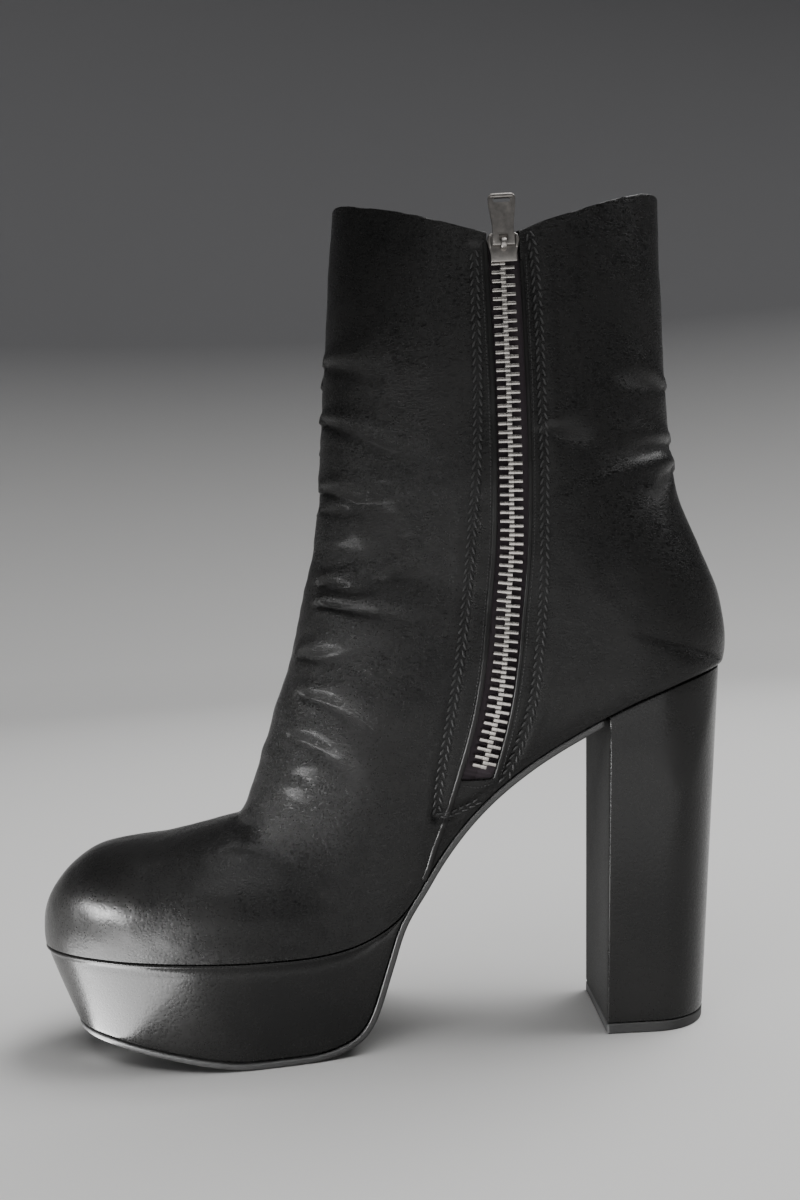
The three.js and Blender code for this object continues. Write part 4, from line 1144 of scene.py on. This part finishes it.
def add_plate(mesh, outline_points, low, high, edge):
    """A flat outline (to the toe, up) with thickness out of the leather, and rounded edges."""
    corners = [mesh.verts.new(Vector(slider_middle + np.array((x, low, z))) * MM) for x, z in outline_points]
    face = mesh.faces.new(corners)
    grown = bmesh.ops.extrude_face_region(mesh, geom=[face])["geom"]
    top = [g for g in grown if isinstance(g, bmesh.types.BMVert)]
    bmesh.ops.translate(mesh, verts=top, vec=(0, (high - low) * MM, 0))
    rims = {e for v in corners + top for e in v.link_edges}
    bmesh.ops.bevel(mesh, geom=list(rims), offset=edge * MM, segments=3, profile=0.5, affect="EDGES", material=-1)


half = slider_length / 2
shield = [(-4.4, -half), (4.4, -half), (4.4, -half * 0.35), (5.4, half * 0.5), (5.0, half * 0.85), (3.9, half)]
shield += [(-3.9, half), (-5.0, half * 0.85), (-5.4, half * 0.5), (-4.4, -half * 0.35)]
mesh = bmesh.new()
add_plate(mesh, shield, 0.85, slider_proud, 0.35)
add_plate(mesh, [(x * 0.8, z * 0.9) for x, z in shield], -2.0, 0.95, 0.2)
for side in (-1, 1):
    cheek = [(5.15, half * 0.55), (4.65, half * 0.88), (4.0, half * 0.85), (4.0, 0), (4.5, -half * 0.1)]
    add_plate(mesh, [(side * x, z) for x, z in cheek][::side], slider_proud - 0.3, slider_proud + 0.35, 0.25)
post, arch_rise, arch_foot = bar_swing + 0.5, bridge_top - bridge_bar / 2 - hinge_out, slider_proud - 0.6
arch = [(hinge_up - post * cos(a), hinge_out + arch_rise * sin(a)) for a in np.linspace(0, pi, 13)]
arch = [(hinge_up - post, arch_foot), *arch, (hinge_up + post, arch_foot)]
arch_path = np.array([slider_middle + np.array((0, out, rise)) for rise, out in arch])
across_bar = np.tile((1.0, 0, 0), (len(arch_path), 1))
turn_round = np.linspace(0, 2 * pi, 12, endpoint=False)
rise = np.sin(turn_round)
oval = np.column_stack([bridge_bar / 2 * np.cos(turn_round), np.sign(rise) * np.abs(rise) ** 0.6])
mesh.from_mesh(applied(mesh_object("bridge", swept(arch_path, across_bar, oval))))
slider = finish_piece("slider_cast", mesh, pull_metal_painted_shade, nodes=("zip_slider",))

foot, pull_length = hinge_up - half_bar, 17
tip = foot + pull_length
waist, shoulder = foot + pull_length * 0.35, tip - pull_length * 0.2
half_blank = [(3.8, foot), (3.5, waist), (4.5, shoulder), (4.5, tip - 1), (3.5, tip)]
blank = [(-3.8, foot)] + half_blank + [(-x, z) for x, z in half_blank[:0:-1]]
window_top = hinge_up + hypot(bar_swing + bridge_bar, bridge_top - hinge_out) + turn_gap
mesh = bmesh.new()
add_plate(mesh, blank, hinge_out - half_pull, hinge_out + half_pull, 0.28)
pull_rough = mesh_object("pull_rough", mesh)


def cut_out(rough, half_width, low, high):
    """Cuts a window with rounded corners through the pull."""
    cutter_mesh = bmesh.new()
    window = [(-half_width, low), (half_width, low), (half_width, high), (-half_width, high)]
    add_plate(cutter_mesh, window, hinge_out - 3, hinge_out + 3, 0.7)
    bmesh.ops.recalc_face_normals(cutter_mesh, faces=cutter_mesh.faces)
    cutter = mesh_object("cutter", cutter_mesh)
    cut = rough.modifiers.new("cut", "BOOLEAN")
    cut.operation, cut.solver, cut.object = "DIFFERENCE", "EXACT", cutter
    data = applied(rough)
    bpy.data.objects.remove(cutter)
    made = bpy.data.objects.new("pull_rough", data)
    bpy.context.scene.collection.objects.link(made)
    return made


pull_rough = cut_out(pull_rough, 1.5, hinge_up + half_bar, window_top)
pull_rough = cut_out(pull_rough, 2.9, tip - 3, tip - 1.5)
mesh = bmesh.new()
mesh.from_mesh(applied(pull_rough))
end_bar = [(-3.9, tip - 1.35), (3.9, tip - 1.35), (3.5, tip - 0.25), (-3.5, tip - 0.25)]
add_plate(mesh, end_bar, hinge_out + 0.3, hinge_out + 0.95, 0.25)
pull = finish_piece("pull_tab", mesh, pull_metal_painted_shade, body="pull", nodes=("zip_pull",))
print("slider and pull:", len(slider.data.polygons), len(pull.data.polygons), "faces")

# %% [markdown]
# The platform and outsole follow the same outline as the upper's foot, and lean in towards the floor. Here rings run
# round the outline: from the middle line out over the top, down the wall and back in underneath. At the toe the
# wall leans back the most. The leather over the platform is rolled tightly at its top edge.

# %% Lines of the sole
tread_table = [
    (1.0, 1.12), (0.94, 1.02), (0.9, 0.93), (0.85, 0.73), (0.79, 0.42), (0.738, 0.16),
    (0.697, 0), (0.655, 0), (0.612, 0),
]
platform_back = [
    (0.579, 0.035), (0.558, 0.088), (0.5415, 0.165), (0.528, 0.285), (0.517, 0.45), (0.4985, 0.795), (0.478, 1.16),
]
toe_spring, sole_thickness, seam = 7.6, 2.2, 0.3
arch_line = beside(feather_line, sole_thickness + sole_gap)
arch_line = arch_line[arch_line[:, 0] < along(0.447)][::12]
tread_points = [(along(at), spring * toe_spring) for at, spring in tread_table]
tread_points += [(along(at), height * platform_height) for at, height in platform_back]
tread = smooth(np.vstack([tread_points, arch_line]), 500)
tread[:, 1] = np.maximum(tread[:, 1], 0)
tread_at = height_on(tread)
tread_top_at = height_on(beside(tread, -sole_thickness))
platform_floor_at = height_on(beside(tread, -(sole_thickness + seam)))
toe_inset, side_inset = 14, 2.6
lean_start, lean_top, lean_span = along(0.72), 38.03, 46.9


def lean_in(x, z):
    """How far the wall has come in at a height. It leans by its full inset from the platform's top to the floor."""
    toe_share = np.clip((x - lean_start) / (along(1) - lean_start), 0, None) ** 1.5
    lean = side_inset + (toe_inset - side_inset) * toe_share
    return lean * 1.25 * np.clip((lean_top - z) / lean_span, 0, None)


def sole_base(x_end, count):
    """The outline from the inner side's back, round the toe, to the outer side's back, with its outward directions."""
    fine = x_end + (toe_tip - x_end) * np.sin(np.linspace(0, pi / 2, 4000))
    z = tread_at(fine)
    steps = [np.sqrt(np.diff(fine) ** 2 + np.diff(edge_at(fine, s)) ** 2 + np.diff(z) ** 2) for s in (1, -1)]
    run = np.concatenate([[0], np.cumsum(np.maximum(*steps))])
    marks = np.linspace(0, run[-1], count)
    xs = np.interp(marks, run, fine)
    inner, outer = (np.column_stack([xs, np.interp(marks, run, s * edge_at(fine, s))]) for s in (1, -1))
    inner[-1] = outer[-1] = (toe_tip, tip_y)
    ring = np.vstack([inner, outer[-2::-1]])
    way = unit(np.gradient(ring, axis=0))
    out = np.column_stack([-way[:, 1], way[:, 0]])
    return ring, out if out[5, 1] > 0 else -out


def towards_middle(places, share):
    """Draws a ring in to the boot's middle line, which share 0 reaches."""
    middle = (places + places[::-1]) / 2
    return middle + (places - middle) * share


def sole_row(base, height_at, inset=0.0, share=1.0, raise_by=0.0, lean=True):
    """One ring: at a height that depends on x, moved inwards, and drawn in to the middle line by its share."""
    ring, out = base
    places = ring.copy()
    for _ in range(3):
        z = height_at(places[:, 0]) + raise_by
        places = ring - out * (lean_in(ring[:, 0], z) * lean + inset)[:, None]
    places = towards_middle(places, share)
    return np.column_stack([places, height_at(places[:, 0]) + raise_by])


flat_tread = tread[tread[:, 1] < 0.02][:, 0]
print("tread is flat from x = %.0f to %.0f" % (flat_tread.min(), flat_tread.max()))

# %% [markdown]
# The platform's leather rolls over its top edge and drops to a fine groove, then the wall bows out very slightly.

# %% Platform
platform_end = 82.2
base = sole_base(platform_end, 130)


def platform_top(x):
    return np.maximum(feather_at(x) - sole_gap, platform_floor_at(x) + 0.05)


def wall_row(share, inset):
    """A ring on the wall: share 0 at the platform's floor and 1 at its top."""
    ring, out = base
    places = ring.copy()
    for _ in range(4):
        low, high = platform_floor_at(places[:, 0]), platform_top(places[:, 0])
        z = low + (high - low) * share
        places = ring - out * (lean_in(ring[:, 0], z) + inset)[:, None]
    return np.column_stack([places, z])


lip = 0.9
rows = [sole_row(base, platform_top, 1.6, s, lean=False) for s in (0, 0.3, 0.6, 0.85, 0.96)]
for a in np.linspace(0, pi / 2, 6):
    rows.append(sole_row(base, platform_top, lip - lip * sin(a), raise_by=lip * cos(a) - lip, lean=False))
for s in np.linspace(0.93, 0.06, 16):
    groove = 0.35 * sin(pi * min(1, (1 - s) * 9)) if s > 0.85 else 0
    rows.append(wall_row(s, groove - 0.25 * sin(pi * s)))
rows += [wall_row(0.02, 0.12), wall_row(0, 0.6)]
rows += [sole_row(base, platform_floor_at, 1.6, s) for s in (0.96, 0.8, 0.5, 0.2, 0)]
mesh = grow(rows, caps=False)
platform = finish_piece("platform_cover", mesh, cover_leather, nodes=("platform",), levels=1)
print("platform:", len(platform.data.polygons), "faces")

# %% [markdown]
# The outsole is a thin plate that follows the tread, goes up behind the platform and runs along the arch to the
# heel. Its edge stands out a little, so it shows as a line under the platform.

# %% Outsole
heel_front_low = 12.6
base = sole_base(heel_front_low, 150)
rows = [sole_row(base, tread_top_at, 1.4, s) for s in (0, 0.4, 0.8, 0.97)]
rows += [sole_row(base, tread_top_at, 0.1, 1), sole_row(base, tread_top_at, -0.25, 1, -0.3)]
rows += [sole_row(base, tread_at, inset, 1, rise) for inset, rise in ((-0.3, 0.9), (-0.15, 0.35), (0.35, 0))]
rows += [sole_row(base, tread_at, 1.2, s) for s in (0.98, 0.8, 0.4, 0)]
mesh = grow(rows, caps=False)
outsole = finish_piece("outsole_edge", mesh, outsole_rubber, nodes=("outsole",), levels=1)
print("outsole:", len(outsole.data.polygons), "faces")

# %% [markdown]
# The heel is a block with a flat breast, flat sides and a rounded back, wrapped in the same leather as the platform.
# Its top follows the upper's seat. The leather turns crisply at the two breast corners, where it catches the light.
# The breast itself is matt, because it is seen at a grazing angle, where polished leather would mirror the floor.

# %% Heel
heel_base_length, heel_base_width, heel_top_width, back_lean, front_lean = 36.5, 52, 61, 12.6, 7.4
heel_corner, lift_height, lift_seam, curve_share, curve_power = 0.9, 3.4, 0.3, 0.45, 0.92

breast = [("breast", v) for v in np.linspace(-1, 1, 15)[1:-1]]
corner = [("corner", v) for v in np.linspace(0, pi / 2, 5)]
flank = [("flank", v) for v in np.linspace(0, 1, 12)[1:-1]]
back = [("back", v) for v in np.linspace(0, pi, 45)]
half_round = [(kind, v, 1) for kind, v in breast + corner + flank + back]
heel_round = half_round + [(kind, v, -1) for kind, v in flank[::-1] + corner[::-1]]


def heel_place(kind, v, side, front, rear, half_width, r):
    """One place on the heel's outline. The back's curve starts a little less than halfway back."""
    curve_start = front - (front - rear) * curve_share
    if kind == "breast":
        return front, v * (half_width - r)
    if kind == "corner":
        return front - r + r * cos(v), side * (half_width - r + r * sin(v))
    if kind == "flank":
        return front - r + (curve_start - front + r) * v, side * half_width
    c, s = cos(v), sin(v)
    return curve_start + (rear - curve_start) * s**curve_power, half_width * np.sign(c) * abs(c) ** curve_power


def heel_row(height, inset=0.0, shrink=1.0):
    """One ring round the heel. height gives z from x; shrink draws the ring in for the closing faces."""
    x = np.zeros(len(heel_round))
    r = max(heel_corner - inset, 0.2)
    for _ in range(4):
        share = height(x) / seat_height
        half_width = (heel_base_width + (heel_top_width - heel_base_width) * share) / 2 - inset
        front = heel_base_length / 2 - front_lean * share - inset
        rear = -heel_base_length / 2 - back_lean * share + inset
        ring = np.array([heel_place(*spot, *size, r) for spot, size in zip(heel_round, zip(front, rear, half_width))])
        x = ring[:, 0]
    limit = np.where(ring[:, 1] > 0, edge_at(ring[:, 0], 1), np.abs(edge_at(ring[:, 0], -1)))
    ring[:, 1] = np.sign(ring[:, 1]) * np.minimum(np.abs(ring[:, 1]), np.maximum(limit - inset, 0))
    centre = np.array((ring[:, 0].mean(), 0))
    ring = centre + (ring - centre) * shrink
    return np.column_stack([ring, height(ring[:, 0])])


def heel_level(share, below=0.0):
    """A height on the heel: share 0 just above the lift, 1 at the upper's seat."""
    low = lift_height + lift_seam
    return lambda x: low + (feather_at(x) - sole_gap - low) * share - below


rows = [heel_row(heel_level(0), 0.7, s) for s in (0.05, 0.5, 0.95)]
rows += [heel_row(heel_level(0), 0.5), heel_row(heel_level(0, -0.25), 0.1)]
rows += [heel_row(heel_level(s), 0) for s in np.linspace(0.012, 0.985, 30)]
rows += [heel_row(heel_level(1, 0.5), 0.1), heel_row(heel_level(1), 0.7)]
rows += [heel_row(heel_level(1), 0.9, s) for s in (0.9, 0.5, 0.05)]
heel = finish_piece("heel_cover", grow(rows), cover_leather, nodes=("heel",), smooth_angle=35)


def level(z):
    return lambda x: 0 * x + z


rows = [heel_row(level(0), 0.5, s) for s in (0.05, 0.5, 0.95)]
lift_rows = [(0, 0.4), (0.35, 0), (lift_height - 0.3, 0), (lift_height, 0.3)]
rows += [heel_row(level(z), inset) for z, inset in lift_rows]
rows += [heel_row(level(lift_height), 0.5, s) for s in (0.95, 0.5, 0.05)]
top_lift = finish_piece("heel_lift", grow(rows), lift_rubber, nodes=("top_lift",), smooth_angle=35)
heel.data.materials.append(breast_leather)
faces_forward = 0.85
for face in heel.data.polygons:
    face.material_index = int(face.normal.x > faces_forward)
print("heel and lift:", len(heel.data.polygons), len(top_lift.data.polygons), "faces")

# %% [markdown]
# The sock lies inside the upper on the feather line. Its rings stay a little further in than the leather's wall, and
# a little more so at the back of the heel, where the counter leans over it.

# %% Sock
sock_thickness = 2.5
ring, out = sole_base(seat_back + 0.6, 120)
sock_inset = wall + sole_gap + 0.2 + np.clip(-ring[:, 0], 0, None) * 0.03


def sock_row(height, extra, share=1.0):
    """A ring at a height above the sock's underside, moved inwards by extra."""
    places = towards_middle(ring - out * (sock_inset + extra)[:, None], share)
    return np.column_stack([places, feather_at(places[:, 0]) + sole_gap + height])


rows = [sock_row(0, 0.4, s) for s in (0, 0.5, 1)]
rows += [sock_row(1, 0), sock_row(sock_thickness - 0.5, 0)]
rows += [sock_row(sock_thickness, 0.8, s) for s in (1, 0.95, 0.8, 0.5, 0.25, 0)]
sock = finish_piece("sock_pad", grow(rows, caps=False), sock_leather, nodes=("insole",), levels=1)
print("sock:", len(sock.data.polygons), "faces")

# %% [markdown]
# The studio: a pale floor that sweeps up all round into a wall, so that every view has a plain ground. The paper
# darkens towards the top, because black leather shows what stands around it. Most light comes from a large box above
# the heel's side, with weaker ones overhead and in front. Four accent lamps light the boot alone: they draw the
# bright spot on the platform's toe and a soft sheen on the ankle, and leave no edge of light on the floor.

# %% Stage and light
def sweep_profile():
    flat, bend, top = 1.7, 0.9, 3.2
    places = [(0.02, 0), (0.8, 0), (flat, 0)]
    places += [(flat + bend * sin(a), bend - bend * cos(a)) for a in np.linspace(0, pi / 2, 12)[1:]]
    return places + [(flat + bend, top)]


mesh = bmesh.new()
corners = [mesh.verts.new((r, 0, z)) for r, z in sweep_profile()]
edges = [mesh.edges.new(pair) for pair in zip(corners[:-1], corners[1:])]
bmesh.ops.spin(mesh, geom=corners + edges, axis=(0, 0, 1), cent=(0, 0, 0), steps=64, angle=2 * pi, use_merge=True)
bmesh.ops.holes_fill(mesh, edges=[e for e in mesh.edges if e.is_boundary and e.verts[0].co.z < 0.1])
bmesh.ops.recalc_face_normals(mesh, faces=mesh.faces)
if min(mesh.faces, key=lambda face: face.calc_center_median().z).normal.z < 0:
    bmesh.ops.reverse_faces(mesh, faces=mesh.faces)
floor = mesh_object("studio_floor", mesh)
floor.data.shade_smooth()
paper = Finish("studio_paper")
height = paper.add("ShaderNodeSeparateXYZ", {}, {"Vector": paper.place()}, out="Z")
shade_up = paper.ramp(height, (0.05, 0), (0.75, 1))
paper_colour = paper.blend(shade_up, (0.82, 0.815, 0.805, 1), (0.16, 0.16, 0.165, 1))
floor.data.materials.append(paper.surface(Base_Color=paper_colour, Roughness=0.9))


def soft_box(name, place, aim, size, power, spread_angle=180, accent=False):
    """A rectangular lamp that isn't seen itself. An accent lamp lights the boot's pieces only."""
    data = bpy.data.lights.new(name, "AREA")
    data.shape, data.size, data.size_y, data.energy = "RECTANGLE", size[0], size[1], power
    data.spread = radians(spread_angle)
    lamp = bpy.data.objects.new(name, data)
    bpy.context.scene.collection.objects.link(lamp)
    lamp.location = place
    lamp.rotation_euler = (Vector(aim) - Vector(place)).to_track_quat("-Z", "Y").to_euler()
    lamp.visible_camera = False
    if accent:
        lamp.light_linking.receiver_collection = boot_pieces


soft_box("overhead_heel_side", (-0.9, -0.35, 2.0), (0.1, 0.05, 0), (1.8, 1.6), 45)
soft_box("overhead", (0, -0.3, 2.2), (0, 0, 0), (1.4, 1.4), 8)
soft_box("overhead_front", (0.1, 1.0, 2.0), (0.1, 0, 0), (1.6, 1.0), 10)
soft_box("front_low_box", (0.1, 1.0, 0.1), (0.1, 0, 0.1), (1.2, 0.18), 1.2, accent=True)
soft_box("toe_box", (0.55, 0.22, 0.09), (0.185, 0.02, 0), (0.42, 0.16), 0.95, 42, accent=True)
soft_box("toe_panel", (0.24, 0.08, 0.004), (0.24, 0.08, 1), (0.105, 0.125), 0.66, accent=True)
soft_box("front_panel", (0.04, 0.42, 0.004), (0.04, 0.42, 1), (0.6, 0.4), 0.8, accent=True)
world = bpy.data.worlds.new("room")
world.use_nodes = True
world.node_tree.nodes["Background"].inputs["Color"].default_value = (0.9, 0.92, 0.95, 1)
world.node_tree.nodes["Background"].inputs["Strength"].default_value = 0.06
bpy.context.scene.world = world
print("stage and lights are set")
